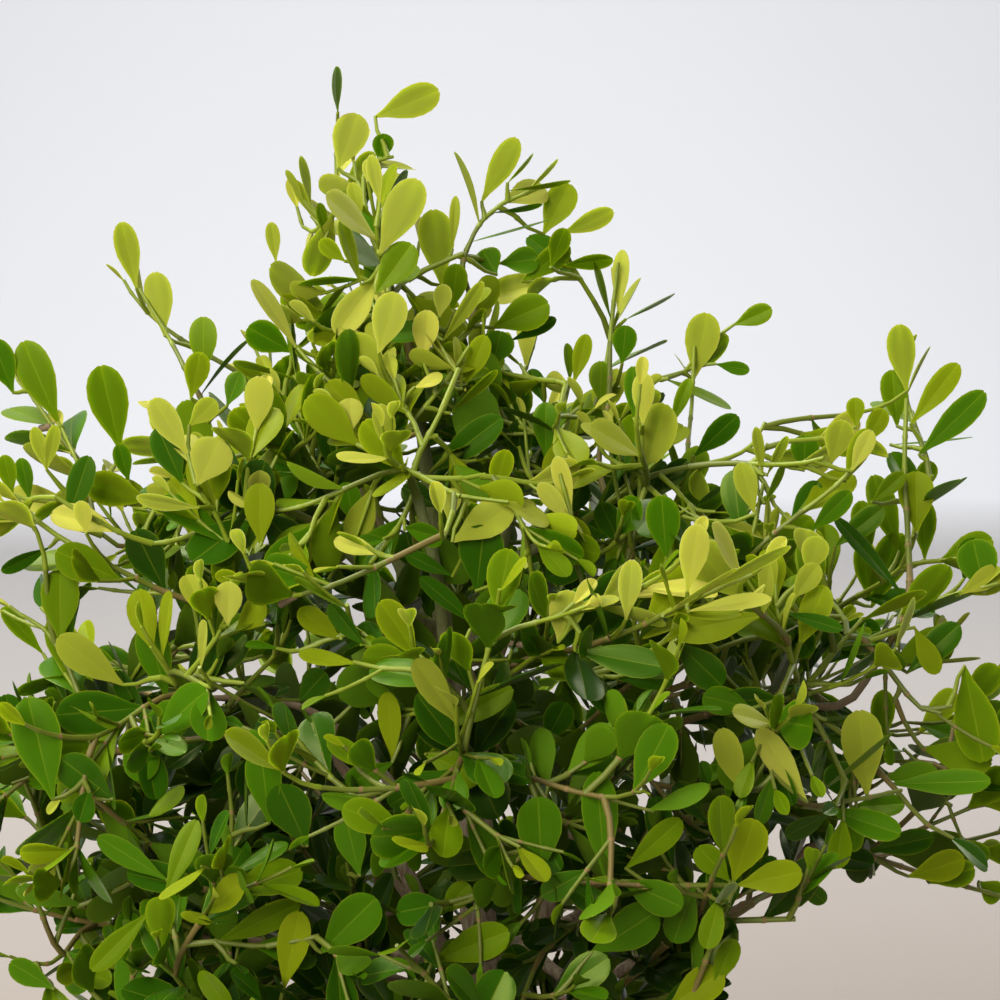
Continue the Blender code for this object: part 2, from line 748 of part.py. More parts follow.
def leaf_fits(corners, blades, name, masses, forms):
    """True where a leaf stays in its space, off the pot, the limbs and other blades."""
    blade = corners[0].lerp(corners[4], 0.5)
    return (all(inside_space(corner, name, masses) for corner in corners)
            and clear_of_pot(corners)
            and clear_of_limbs(corners + [blade], forms, masses[name][1])
            and all((other - blade).length > LEAF_SPACING for other in blades))


def make_mass(name, shoots, masses, forms, parts, material):
    """One mass of foliage: its twigs and leaves, joined by one union."""
    carrier = next(limb for limb, row in LIMBS.items() if row.mass == name)
    rng = random.Random(f"leaves of {name}")
    pieces = make_collection(f"pieces_{name}")
    twigs = grow_twigs(name, shoots, masses, forms, forms[carrier][0])
    blades = []
    for index, (path, radii) in enumerate(twigs):
        mesh = tube_mesh(f"twig_{name}_{index}", path, radii, TWIG_SIDES)
        if index == 0:
            mass = add_object(f"foliage_{name}", mesh, parts, material)
        else:
            add_object(f"twig_{name}_{index}", mesh, pieces)
        for frame, scale in leaf_places(path, rng):
            corners = [frame @ corner for corner in leaf_points(scale)]
            if not leaf_fits(corners, blades, name, masses, forms):
                continue
            leaf = bpy.data.meshes.new("leaf")
            leaf.from_pydata(corners, [], LEAF_FACES)
            add_object(f"leaf_{name}_{len(blades)}", leaf, pieces)
            blades.append(corners[0].lerp(corners[4], 0.5))
    add_boolean(mass, "UNION", collection=pieces)
    apply_modifiers(mass)
    keep_main_body(mass.data)
    for piece in list(pieces.objects):
        remove_object(piece)
    bpy.data.collections.remove(pieces)


def main():
    """Build the pot, the soil, the limbs and the masses of foliage."""
    for obj in list(bpy.data.objects):
        bpy.data.objects.remove(obj)
    parts = make_collection("boxwood_cone")
    cutters = make_collection("cutters")
    make_pot(parts, cutters)
    make_soil(parts)
    masses = mass_layout()
    forms = limb_forms(masses)
    make_limbs(forms, parts)
    shoots = all_shoots()
    foliage = make_material("foliage", (0.16, 0.30, 0.04), 0.45)
    for name in masses:
        make_mass(name, shoots, masses, forms, parts, foliage)


main()
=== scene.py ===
"""Boxwood cone in a clay pot: its leaves, twigs, bark, clay and potting mix.

Lengths are in metres. The origin is the middle of the pot's flat underside, +Z is up and
the front of the plant faces -Y. The crown grows by one seeded rule: masses of foliage
share the crown between them, twigs in each mass reach for shoot tips on the crown's
outline, side shoots leave the twigs at their nodes, and pairs of leaves sit at each node.
"""

import json
import logging
import math
import random
from dataclasses import dataclass, field
from enum import Enum
from typing import Callable, Iterator

import bpy
import numpy as np
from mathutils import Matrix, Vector
from numpy.typing import NDArray

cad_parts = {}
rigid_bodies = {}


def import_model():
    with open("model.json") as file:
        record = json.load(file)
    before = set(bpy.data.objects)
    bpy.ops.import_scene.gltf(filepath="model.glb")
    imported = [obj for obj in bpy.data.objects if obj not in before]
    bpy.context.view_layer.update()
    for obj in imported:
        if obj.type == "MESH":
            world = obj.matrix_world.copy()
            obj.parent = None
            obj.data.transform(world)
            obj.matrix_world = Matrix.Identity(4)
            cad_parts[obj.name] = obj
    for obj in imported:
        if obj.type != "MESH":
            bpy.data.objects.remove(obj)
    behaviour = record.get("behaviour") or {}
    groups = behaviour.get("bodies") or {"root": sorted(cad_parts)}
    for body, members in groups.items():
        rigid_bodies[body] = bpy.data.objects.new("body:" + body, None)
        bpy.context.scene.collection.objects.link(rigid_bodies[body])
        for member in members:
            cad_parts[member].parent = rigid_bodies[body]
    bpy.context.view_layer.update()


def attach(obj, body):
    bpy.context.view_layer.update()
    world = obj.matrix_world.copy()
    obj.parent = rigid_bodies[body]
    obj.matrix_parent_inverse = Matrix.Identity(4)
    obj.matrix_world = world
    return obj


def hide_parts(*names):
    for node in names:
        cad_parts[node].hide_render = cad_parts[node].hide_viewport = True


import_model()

Vec = NDArray[np.float64]
Ints = NDArray[np.int64]
Colour = tuple[float, float, float]
Place = tuple[float, float, float]
Socket = bpy.types.NodeSocket
Material = bpy.types.Material
Piece = bpy.types.Object

LOG = logging.getLogger("boxwood")


# ---- vectors and paths ----------------------------------------------------------------
MM = 1000.0                         # millimetres in a metre
GOLDEN_ANGLE = math.pi * (3.0 - math.sqrt(5.0))


def unit(vectors: Vec) -> Vec:
    """Vectors divided by their lengths."""
    return vectors / np.maximum(np.linalg.norm(vectors, axis=-1, keepdims=True), 1e-12)


def level(turn: float) -> Vec:
    """Unit heading level with the ground, at an angle in radians from +X."""
    return np.array((math.cos(turn), math.sin(turn), 0.0))


def crossing(heading: Vec, least: float) -> Vec:
    """Unit direction across a heading, level unless the heading is nearly upright."""
    side = np.cross(heading, (0.0, 0.0, 1.0))
    if np.linalg.norm(side) < least:
        side = np.cross(heading, (0.0, 1.0, 0.0))
    return unit(side)


def ripple(points: Vec, pitch: Vec, seed: int, waves: int = 20) -> Vec:
    """A smooth random height at each point, from about -1 to 1.

    It is the sum of plane sine waves with random headings and phases, over the square
    root of half their number.

    Args:
        points: Places, with shape (..., 3).
        pitch: Mean wavelength along each axis.
        seed: Seed of the headings and phases.
        waves: How many waves there are.

    Returns:
        Heights, with the shape of points less its last axis.
    """
    rng = np.random.default_rng(seed)
    headings = unit(rng.normal(size=(waves, 3))) * rng.uniform(0.6, 1.6, (waves, 1))
    phases = rng.uniform(0.0, 2.0 * math.pi, waves)
    turns = points @ (2.0 * math.pi * headings / np.asarray(pitch)).T + phases
    return np.sin(turns).sum(axis=-1) / math.sqrt(0.5 * waves) / 2.0


def cubic(start: Vec, leave: Vec, end: Vec, arrive: Vec, t: Vec) -> Vec:
    """Values at shares t on the Hermite cubic between two ends with the given slopes."""
    return (start * (2 * t ** 3 - 3 * t ** 2 + 1) + leave * (t ** 3 - 2 * t ** 2 + t)
            + end * (3 * t ** 2 - 2 * t ** 3) + arrive * (t ** 3 - t ** 2))


def curved_path(start: Vec, leave: Vec, tip: Vec, arrive: Vec, count: int) -> Vec:
    """Points on the cubic that leaves start and reaches tip at the given headings.

    It is the Hermite cubic whose end slopes are the headings times the straight distance.

    Args:
        start: First point.
        leave: Unit heading there.
        tip: Last point.
        arrive: Unit heading there.
        count: Number of points.

    Returns:
        The points, with shape (count, 3).
    """
    reach = np.linalg.norm(tip - start)
    t = np.linspace(0.0, 1.0, count)[:, None]
    return cubic(start, leave * reach, tip, arrive * reach, t)


def point_along(path: Vec, fraction: float) -> tuple[Vec, Vec]:
    """Point and heading at a fraction of a path's point count."""
    place = fraction * (len(path) - 1)
    index = min(int(place), len(path) - 2)
    run = path[index + 1] - path[index]
    return path[index] + run * (place - index), unit(run)


def nearest_on_path(points: Vec, path: Vec) -> tuple[Vec, Vec]:
    """The nearest places on a path to some points.

    Each point is dropped on every stretch of the path, held to that stretch's ends, and
    the nearest of these feet is kept.

    Args:
        points: Places, with shape (n, 3).
        path: The path's points, with shape (m, 3).

    Returns:
        The distances (n) and the feet (n, 3).
    """
    runs = np.diff(path, axis=0)
    offsets = points[:, None, :] - path[None, :-1, :]
    share = np.clip((offsets * runs).sum(-1) / (runs * runs).sum(-1), 0.0, 1.0)
    feet = path[None, :-1, :] + share[..., None] * runs
    distances = np.linalg.norm(points[:, None, :] - feet, axis=-1)
    best = distances.argmin(axis=1)
    rows = np.arange(len(points))
    return distances[rows, best], feet[rows, best]


def path_lengths(path: Vec) -> Vec:
    """Length along a path from its start to each of its points."""
    return np.concatenate(([0.0], np.cumsum(np.linalg.norm(np.diff(path, axis=0), axis=1))))


def smooth_interp(steps: Vec, knots: Vec, values: Vec) -> Vec:
    """Values between knots on a cubic through them, with slopes from the neighbours.

    Args:
        steps: Where values are wanted.
        knots: Where they are known, in rising order.
        values: What they are there.

    Returns:
        The values at steps.
    """
    slopes = np.gradient(values, knots)
    index = np.clip(np.searchsorted(knots, steps, side="right") - 1, 0, len(knots) - 2)
    span = knots[index + 1] - knots[index]
    t = (steps - knots[index]) / span
    return cubic(values[index], slopes[index] * span, values[index + 1],
                 slopes[index + 1] * span, t)


def resampled(path: Vec, steps: Vec, smooth: bool = False) -> Vec:
    """Points at some lengths along a path.

    Args:
        path: The path's points, with shape (n, 3).
        steps: Lengths along it, with shape (m).
        smooth: Whether they lie on a smooth curve through the points, and not on the
            straight runs between them.

    Returns:
        The points, with shape (m, 3).
    """
    lengths = path_lengths(path)
    between = smooth_interp if smooth else np.interp
    return np.stack([between(steps, lengths, path[:, axis]) for axis in range(3)], axis=-1)


def turned(vectors: Vec, axes: Vec, angles: Vec) -> Vec:
    """Vectors turned about unit axes by angles in radians, by Rodrigues' formula."""
    cosines, sines = np.cos(angles)[..., None], np.sin(angles)[..., None]
    along = (vectors * axes).sum(-1, keepdims=True)
    return vectors * cosines + np.cross(axes, vectors) * sines + axes * along * (1 - cosines)


def across_frames(path: Vec) -> tuple[Vec, Vec, Vec]:
    """Headings and two cross directions along a path, carried on with the least twist.

    Args:
        path: The path's points, with shape (n, 3).

    Returns:
        Heading, first and second cross direction at each point.
    """
    headings = unit(np.gradient(path, axis=0))
    sides = [crossing(headings[0], 0.1)]
    for heading in headings[1:]:
        sides.append(unit(sides[-1] - heading * sides[-1].dot(heading)))
    first = np.array(sides)
    return headings, first, np.cross(headings, first)


# ---- meshes ---------------------------------------------------------------------------
RIM_ANGLE = math.radians(75.0)      # edges bent further than this are shaded sharp


class MeshBatch:
    """Gathers points and faces as arrays, and makes one mesh piece of them."""

    def __init__(self) -> None:
        """Start with nothing."""
        self.points: list[Vec] = []
        self.corners: list[Ints] = []
        self.sizes: list[Ints] = []
        self.slots: list[Ints] = []
        self.count = 0

    def add_points(self, points: Vec) -> int:
        """Add points.

        Args:
            points: Places, with any shape that ends in 3.

        Returns:
            The index that the first of them gets.
        """
        first = self.count
        flat = points.reshape(-1, 3)
        self.points.append(flat)
        self.count += len(flat)
        return first

    def add_faces(self, faces: Ints, slots: Ints | int) -> None:
        """Add faces of one size.

        Args:
            faces: Point indices, with shape (faces, corners).
            slots: Material slot of each face, or of all.
        """
        self.corners.append(faces.reshape(-1))
        self.sizes.append(np.full(len(faces), faces.shape[1]))
        self.slots.append(np.broadcast_to(np.asarray(slots), (len(faces),)))

    def add_fan(self, pole: int, ring: int, sides: int, slot: int, onward: bool) -> None:
        """Add triangles from a pole to the sides of a ring.

        Args:
            pole: Index of the pole.
            ring: Index of the ring's first point.
            sides: Number of points in the ring.
            slot: Material slot.
            onward: Whether the corners follow the ring's own order.
        """
        first, second = ring + np.arange(sides), ring + (np.arange(sides) + 1) % sides
        rim = (first, second) if onward else (second, first)
        self.add_faces(np.stack((np.full(sides, pole), *rim), -1), slot)

    def face_count(self) -> int:
        """Number of triangles that the faces make."""
        return int(sum((sizes - 2).sum() for sizes in self.sizes))

    def piece(self, name: str, materials: list[Material]) -> Piece:
        """The mesh piece, smooth-shaded, at the origin.

        Args:
            name: Name of the object and its mesh.
            materials: Materials by slot.

        Returns:
            The object, linked to the scene.
        """
        mesh = bpy.data.meshes.new(name)
        points, corners = np.concatenate(self.points), np.concatenate(self.corners)
        sizes, slots = np.concatenate(self.sizes), np.concatenate(self.slots)
        mesh.vertices.add(len(points))
        mesh.vertices.foreach_set("co", points.astype(np.float32).ravel())
        mesh.loops.add(len(corners))
        mesh.loops.foreach_set("vertex_index", corners.astype(np.int32))
        mesh.polygons.add(len(sizes))
        starts = np.concatenate(([0], np.cumsum(sizes)[:-1]))
        mesh.polygons.foreach_set("loop_start", starts.astype(np.int32))
        mesh.polygons.foreach_set("material_index", slots.astype(np.int32))
        mesh.polygons.foreach_set("use_smooth", np.ones(len(sizes), dtype=bool))
        for material in materials:
            mesh.materials.append(material)
        mesh.update(calc_edges=True)
        mesh.validate()
        mesh.set_sharp_from_angle(angle=RIM_ANGLE)
        piece = bpy.data.objects.new(name, mesh)
        bpy.context.scene.collection.objects.link(piece)
        return piece


def grid_faces(rows: int, columns: int, closed: bool) -> Ints:
    """Quads between the points of a grid with rows and columns.

    Args:
        rows: Number of rows of points.
        columns: Number of points in a row.
        closed: Whether each row is a ring.

    Returns:
        Corner indices, with shape (quads, 4).
    """
    row, column = np.meshgrid(np.arange(rows - 1), np.arange(columns - (not closed)),
                              indexing="ij")
    onward = (column + 1) % columns
    quads = (row * columns + column, row * columns + onward,
             (row + 1) * columns + onward, (row + 1) * columns + column)
    return np.stack(quads, axis=-1).reshape(-1, 4)


def add_tube(batch: MeshBatch, path: Vec, radii: Vec, sides: int,
             slots: Ints | int, cap_slot: int | None = None) -> None:
    """A closed tube along a path.

    Ring i is the circle of radius radii[i] round path[i] in the plane of the two cross
    directions there. A fan from the path's own end point closes each end.

    Args:
        batch: Where the tube goes.
        path: Points along the middle, with shape (n, 3).
        radii: Radius at each point (n), or at each point and side (n, sides).
        sides: Number of sides.
        slots: Material slot of each stretch between rings, or of all.
        cap_slot: Slot of the end cap, where it differs.
    """
    _, first, second = across_frames(path)
    turn = np.linspace(0.0, 2.0 * math.pi, sides, endpoint=False)
    circle = (first[:, None, :] * np.cos(turn)[None, :, None]
              + second[:, None, :] * np.sin(turn)[None, :, None])
    reach = radii if radii.ndim == 2 else np.repeat(radii[:, None], sides, axis=1)
    rings = path[:, None, :] + circle * reach[..., None]
    offset = batch.add_points(rings)
    ends = batch.add_points(path[[0, -1]])
    stretches = np.broadcast_to(np.asarray(slots), (len(path) - 1,))
    batch.add_faces(grid_faces(len(path), sides, True) + offset, np.repeat(stretches, sides))
    batch.add_fan(ends, offset, sides, int(stretches[0]), False)
    batch.add_fan(ends + 1, offset + (len(path) - 1) * sides, sides,
                  int(stretches[-1]) if cap_slot is None else cap_slot, True)


def add_turned(batch: MeshBatch, profile: Vec, moved: Callable[[Vec], Vec],
               sides: int) -> None:
    """A closed turned body: a profile from pole to pole carried round the Z axis.

    Point (i, j) is at radius profile[i, 0] and height profile[i, 1], turned by j steps.
    The profile's ends lie on the axis and become single points.

    Args:
        batch: Where the body goes.
        profile: Radius and height, from the top pole by the outer side to the other.
        moved: Moves the ring points off the plain form.
        sides: Number of steps round.
    """
    turn = np.linspace(0.0, 2.0 * math.pi, sides, endpoint=False)
    body = profile[1:-1]
    points = np.stack((body[:, :1] * np.cos(turn), body[:, :1] * np.sin(turn),
                       np.repeat(body[:, 1:], sides, axis=1)), axis=-1)
    offset = batch.add_points(moved(points))
    poles = batch.add_points(np.stack((np.zeros(2), np.zeros(2), profile[[0, -1], 1]), -1))
    batch.add_faces(grid_faces(len(body), sides, True)[:, ::-1] + offset, 0)
    batch.add_fan(poles, offset, sides, 0, True)
    batch.add_fan(poles + 1, offset + (len(body) - 1) * sides, sides, 0, False)


# ---- finishes -------------------------------------------------------------------------
class NodeSheet:
    """A new material and short calls that lay nodes on it."""

    def __init__(self, name: str) -> None:
        """Start a material with one Principled shader."""
        self.material = bpy.data.materials.new(name)
        self.material.use_nodes = True
        self.nodes = self.material.node_tree.nodes
        self.links = self.material.node_tree.links
        self.shader = self.nodes["Principled BSDF"]
        self._place: Socket | None = None

    def set(self, **values: float | Colour) -> None:
        """Set sockets of the shader, named with underscores for spaces."""
        for name, value in values.items():
            socket = self.shader.inputs[name.replace("_", " ")]
            socket.default_value = (*value, 1.0) if socket.type == "RGBA" else value

    def place(self) -> Socket:
        """Object coordinates."""
        if self._place is None:
            self._place = self.nodes.new("ShaderNodeTexCoord").outputs["Object"]
        return self._place

    def noise(self, scale: float, detail: float = 3.0, stretch: Colour = (1.0, 1.0, 1.0),
              roughness: float = 0.5) -> Socket:
        """Noise on the object's coordinates.

        Args:
            scale: Cycles to the metre.
            detail: Octaves.
            stretch: Factors on the three coordinates.
            roughness: Strength of each octave beside the one before.

        Returns:
            The noise, from 0 to 1.
        """
        mapping = self._node("Mapping", Scale=stretch)
        self.links.new(self.place(), mapping.inputs["Vector"])
        noise = self._node("TexNoise", Scale=scale, Detail=detail, Roughness=roughness)
        self.links.new(mapping.outputs["Vector"], noise.inputs["Vector"])
        return noise.outputs["Fac"]

    def ramp(self, value: Socket, stops: tuple[tuple[float, Colour], ...]) -> Socket:
        """Colours by value, from stops of a place and a colour."""
        ramp = self.nodes.new("ShaderNodeValToRGB")
        elements = ramp.color_ramp.elements
        while len(elements) < len(stops):
            elements.new(0.5)
        for element, (place, colour) in zip(elements, stops):
            element.position = place
            element.color = (*colour, 1.0)
        self.links.new(value, ramp.inputs["Fac"])
        return ramp.outputs["Color"]

    def range(self, value: Socket, start: float, end: float, low: float = 0.0,
              high: float = 1.0) -> Socket:
        """A value carried from start..end to low..high, and held there."""
        remap = self._node("MapRange", From_Min=start, From_Max=end, To_Min=low,
                           To_Max=high)
        self.links.new(value, remap.inputs["Value"])
        return remap.outputs["Result"]

    def mix(self, share: Socket, under: Socket | Colour, over: Socket | Colour) -> Socket:
        """Two colours mixed by a share."""
        mix = self.nodes.new("ShaderNodeMix")
        mix.data_type = "RGBA"
        self.links.new(share, mix.inputs["Factor"])
        for name, colour in (("A", under), ("B", over)):
            self._fill(next(s for s in mix.inputs if s.name == name and s.type == "RGBA"),
                       colour)
        return next(s for s in mix.outputs if s.type == "RGBA")

    def axis(self, name: str) -> Socket:
        """One of the object's coordinates: X, Y or Z."""
        split = self.nodes.new("ShaderNodeSeparateXYZ")
        self.links.new(self.place(), split.inputs["Vector"])
        return split.outputs[name]

    def bump(self, height: Socket, strength: float, distance: float,
             below: Socket | None = None) -> Socket:
        """A bump of some height in metres, on top of another."""
        bump = self._node("Bump", Strength=strength, Distance=distance)
        self.links.new(height, bump.inputs["Height"])
        if below is not None:
            self.links.new(below, bump.inputs["Normal"])
        return bump.outputs["Normal"]

    def drive(self, name: str, value: Socket) -> None:
        """Link a value to a socket of the shader."""
        self.links.new(value, self.shader.inputs[name])

    def _node(self, kind: str, **values: float | Colour) -> bpy.types.Node:
        """A new node with its sockets set, named with underscores for spaces."""
        node = self.nodes.new(f"ShaderNode{kind}")
        for name, value in values.items():
            node.inputs[name.replace("_", " ")].default_value = value
        return node

    def _fill(self, socket: Socket, colour: Socket | Colour) -> None:
        """Link a colour to a socket or set it there."""
        if isinstance(colour, tuple):
            socket.default_value = (*colour, 1.0)
        else:
            self.links.new(colour, socket)


def blended(first: Colour, second: Colour, share: float) -> Colour:
    """A colour between two, at a share of the second."""
    return tuple(a + (b - a) * share for a, b in zip(first, second))


@dataclass(frozen=True)
class LeafFinish:
    """One tint of boxwood leaf: how green, how glossy, and how much light it lets through."""

    upper: Colour
    roughness: float
    gloss: float
    glow: float
    under_pale: Colour = (0.215, 0.300, 0.015)
    line_pale: Colour = (0.420, 0.460, 0.030)
    under_share: float = 0.17
    line_share: float = 0.13
    under_roughness: float = 0.50
    under_gloss: float = 0.4    # over the upper side's
    line_rougher: float = 0.08
    sheen: Colour = (0.84, 1.0, 0.26)
    glow_scale: float = 0.0012
    glow_reach: Colour = (0.7, 1.0, 0.15)

    def materials(self, name: str) -> list[Material]:
        """Upper side, underside, and the lines of midrib and margin.

        Args:
            name: The tint's name.

        Returns:
            The three materials, in that order.
        """
        under = blended(self.upper, self.under_pale, self.under_share)
        line = blended(self.upper, self.line_pale, self.line_share)
        rows = (("upper", self.upper, self.roughness, self.gloss),
                ("under", under, self.under_roughness, self.under_gloss * self.gloss),
                ("line", line, self.roughness + self.line_rougher, self.gloss))
        made = []
        for part, colour, roughness, gloss in rows:
            sheet = NodeSheet(f"leaf_{name}_{part}")
            sheet.set(Base_Color=colour, Roughness=roughness, Specular_IOR_Level=gloss,
                      Specular_Tint=self.sheen, Subsurface_Weight=self.glow,
                      Subsurface_Scale=self.glow_scale, Subsurface_Radius=self.glow_reach)
            made.append(sheet.material)
        return made


class Tint(Enum):
    """The leaf tints, from the shade of the crown to its newest growth."""

    SHADE = LeafFinish((0.013, 0.046, 0.002), 0.28, 0.28, 0.10)
    DEEP = LeafFinish((0.025, 0.088, 0.002), 0.27, 0.28, 0.12)
    LEAF = LeafFinish((0.049, 0.137, 0.002), 0.30, 0.23, 0.18)
    GRASS = LeafFinish((0.100, 0.173, 0.002), 0.34, 0.15, 0.25)
    FRESH = LeafFinish((0.170, 0.220, 0.004), 0.38, 0.11, 0.32)
    SPRING = LeafFinish((0.272, 0.302, 0.026), 0.42, 0.11, 0.36)
    LIME = LeafFinish((0.360, 0.374, 0.052), 0.46, 0.09, 0.38)
    YELLOW = LeafFinish((0.402, 0.395, 0.056), 0.50, 0.09, 0.40)


@dataclass(frozen=True)
class WoodFinish:
    """A plain twig colour."""

    colour: Colour
    roughness: float

    def material(self, name: str) -> Material:
        """The material of this twig colour."""
        sheet = NodeSheet(name)
        sheet.set(Base_Color=self.colour, Roughness=self.roughness)
        return sheet.material


class Wood(Enum):
    """Twig colours, from this year's growth to old wood, with node scars and cuts."""

    YOUNG = WoodFinish((0.205, 0.265, 0.012), 0.45)
    GREEN = WoodFinish((0.132, 0.165, 0.012), 0.50)
    RIPE = WoodFinish((0.155, 0.118, 0.024), 0.60)
    OLD = WoodFinish((0.200, 0.140, 0.080), 0.75)
    SCAR = WoodFinish((0.230, 0.140, 0.050), 0.70)
    CUT = WoodFinish((0.340, 0.260, 0.140), 0.80)


@dataclass(frozen=True)
class BarkFinish:
    """Thin tan bark, grey on its ridges, warm in its furrows and green high up."""

    ridge: Colour = (0.340, 0.270, 0.190)
    furrow: Colour = (0.150, 0.090, 0.050)
    lichen: Colour = (0.300, 0.310, 0.210)
    young: Colour = (0.130, 0.160, 0.035)

    def material(self) -> Material:
        """The bark material: streaks along the stem, blotches and a fine bump."""
        sheet = NodeSheet("bark_dressed")
        streaks = sheet.noise(900.0, 4.0, (1.0, 1.0, 0.18), 0.6)
        blotch = sheet.noise(90.0, 3.0)
        wood = sheet.ramp(streaks, ((0.34, self.furrow), (0.62, self.ridge)))
        patched = sheet.mix(sheet.range(blotch, 0.55, 0.72, 0.0, 0.55), wood, self.lichen)
        rising = sheet.range(sheet.axis("Z"), 0.215, 0.262, 0.0, 0.85)
        sheet.drive("Base Color", sheet.mix(rising, patched, self.young))
        sheet.drive("Roughness", sheet.range(streaks, 0.3, 0.7, 0.9, 0.65))
        sheet.drive("Normal", sheet.bump(streaks, 0.7, 0.0004))
        return sheet.material


@dataclass(frozen=True)
class ClayFinish:
    """Fired clay with pale lime bloom, damp near the foot and fine pits."""

    clay: Colour = (0.480, 0.200, 0.105)
    light: Colour = (0.580, 0.290, 0.170)
    bloom: Colour = (0.640, 0.520, 0.420)
    damp: Colour = (0.300, 0.120, 0.065)

    def material(self) -> Material:
        """The clay material: clouded colour, bloom in patches, a damp foot and pits."""
        sheet = NodeSheet("terracotta_dressed")
        clouds = sheet.noise(28.0, 4.0)
        grain = sheet.noise(1400.0, 2.0)
        drips = sheet.noise(60.0, 5.0, (1.0, 1.0, 0.35), 0.65)
        clay = sheet.ramp(clouds, ((0.35, self.clay), (0.68, self.light)))
        damp = sheet.mix(sheet.range(sheet.axis("Z"), 0.004, 0.030, 0.55, 0.0), clay,
                         self.damp)
        bloom = sheet.mix(sheet.range(drips, 0.52, 0.74, 0.0, 0.60), damp, self.bloom)
        speck = sheet.mix(sheet.range(grain, 0.30, 0.42, 0.25, 0.0), bloom, self.damp)
        sheet.drive("Base Color", speck)
        sheet.drive("Roughness", sheet.range(drips, 0.4, 0.7, 0.78, 0.94))
        pits = sheet.bump(grain, 0.5, 0.0003)
        sheet.drive("Normal", sheet.bump(clouds, 0.3, 0.0008, pits))
        return sheet.material


@dataclass(frozen=True)
class MixFinish:
    """Moist potting mix, with paler fibres."""

    dark: Colour = (0.018, 0.012, 0.008)
    brown: Colour = (0.075, 0.046, 0.026)

    def material(self) -> Material:
        """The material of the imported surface."""
        sheet = NodeSheet("potting_mix_dressed")
        lumps = sheet.noise(260.0, 6.0, roughness=0.7)
        sheet.drive("Base Color", sheet.ramp(lumps, ((0.38, self.dark), (0.64, self.brown))))
        sheet.drive("Roughness", sheet.range(lumps, 0.3, 0.7, 0.97, 0.80))
        sheet.drive("Normal", sheet.bump(lumps, 0.9, 0.0014))
        return sheet.material


# ---- the crown's rule -----------------------------------------------------------------
@dataclass(frozen=True)
class Shoot:
    """The tip of a shoot, the way that it points, and how much lighter it is than most."""

    tip: Vec
    heading: Vec
    tone: float
    run_on: float = 0.007       # how far its new growth runs on past the solid's twig


@dataclass(frozen=True)
class Mass:
    """One mass of foliage: its middle, and its root at the tip of its limb."""

    middle: Vec
    root: Vec


@dataclass(frozen=True)
class Ring:
    """A ring of masses round the crown."""

    name: str
    count: int
    height: float
    reach: float
    first_azimuth: float
    root_reach: float
    root_drop: float


@dataclass(frozen=True)
class Limb:
    """One tapering limb: its parent, where it leaves it, its mass and its thickness."""

    parent: str
    fraction: float
    mass: str
    radius: float


@dataclass(frozen=True)
class LimbForm:
    """Path and radii of a limb, coarse as the solids have them."""

    path: Vec
    radii: Vec


LEADER, STEM, BOUGH = 0.0042, 0.0032, 0.0021

LIMBS: dict[str, Limb] = {
    "leader": Limb("trunk", 1.0, "top", LEADER),
    "stem_back": Limb("trunk", 0.72, "middle_2", STEM),
    "stem_left": Limb("trunk", 0.78, "middle_4", STEM),
    "stem_right": Limb("trunk", 0.84, "middle_6", STEM),
    "bough_front": Limb("leader", 0.12, "middle_5", BOUGH),
    "bough_right_back": Limb("stem_right", 0.42, "middle_1", BOUGH),
    "bough_left_back": Limb("stem_back", 0.46, "middle_3", BOUGH),
    "bough_low_right": Limb("trunk", 0.56, "lower_1", BOUGH),
    "bough_low_back": Limb("stem_back", 0.24, "lower_2", BOUGH),
    "bough_low_back_left": Limb("trunk", 0.60, "lower_3", BOUGH),
    "bough_low_left": Limb("stem_left", 0.24, "lower_4", BOUGH),
    "bough_low_front_left": Limb("trunk", 0.64, "lower_5", BOUGH),
    "bough_low_front_right": Limb("stem_right", 0.24, "lower_6", BOUGH),
    "bough_high_back_right": Limb("leader", 0.46, "upper_1", BOUGH),
    "bough_high_back_left": Limb("leader", 0.51, "upper_2", BOUGH),
    "bough_high_left": Limb("leader", 0.56, "upper_3", BOUGH),
    "bough_high_front": Limb("leader", 0.30, "upper_4", BOUGH),
    "bough_high_right": Limb("leader", 0.66, "upper_5", BOUGH),
}

# The shoots that lead the outline: tip in millimetres, azimuth and elevation in degrees,
# and tone.
LEADING_SHOOTS = (
    ((-38, 15, 370), 180, 82, -0.1), ((-29, 12, 376), 15, 0, -0.1),
    ((-54, 30, 358), 170, 78, 0.0), ((-57, 0, 342), 180, 78, 0.05),
    ((-31, -32, 360), 190, 86, 0.0), ((4, 10, 360), 10, 60, -0.1),
    ((22, 28, 356), 10, 8, -0.15), ((33, 42, 334), 0, 84, -0.3),
    ((22, 0, 326), 0, 74, 0.05), ((56, 48, 320), 0, 76, -0.2),
    ((62, 30, 318), 5, 20, -0.25), ((-102, 38, 338), 170, 55, 0.05),
    ((114, 30, 316), 20, 84, -0.25), ((122, 12, 296), 0, 62, -0.2),
    ((118, 20, 272), 0, 70, -0.2), ((-128, 2, 316), 175, 55, -0.3),
    ((92, -40, 304), -20, 45, 0.15), ((36, -50, 314), 0, 80, 0.1),
    ((-5, -35, 336), -60, 65, 0.1), ((-67, -50, 316), 190, 30, 0.1),
    ((-50, -42, 330), 200, 45, 0.1), ((61, -108, 278), -40, 25, 0.18),
    ((-122, -50, 286), 185, 25, 0.2), ((-122, -40, 258), 180, 20, 0.1),
    ((-106, -90, 234), 220, 15, 0.05), ((-86, -70, 256), 215, 50, 0.15),
    ((97, -80, 216), -30, 12, 0.15), ((132, 0, 266), 0, 30, 0.0),
    ((138, 45, 178), 15, -5, 0.0), ((63, -104, 198), -50, 5, 0.0),
    ((-90, 20, 308), 170, 65, 0.05), ((72, 0, 304), 10, 70, 0.05),
)

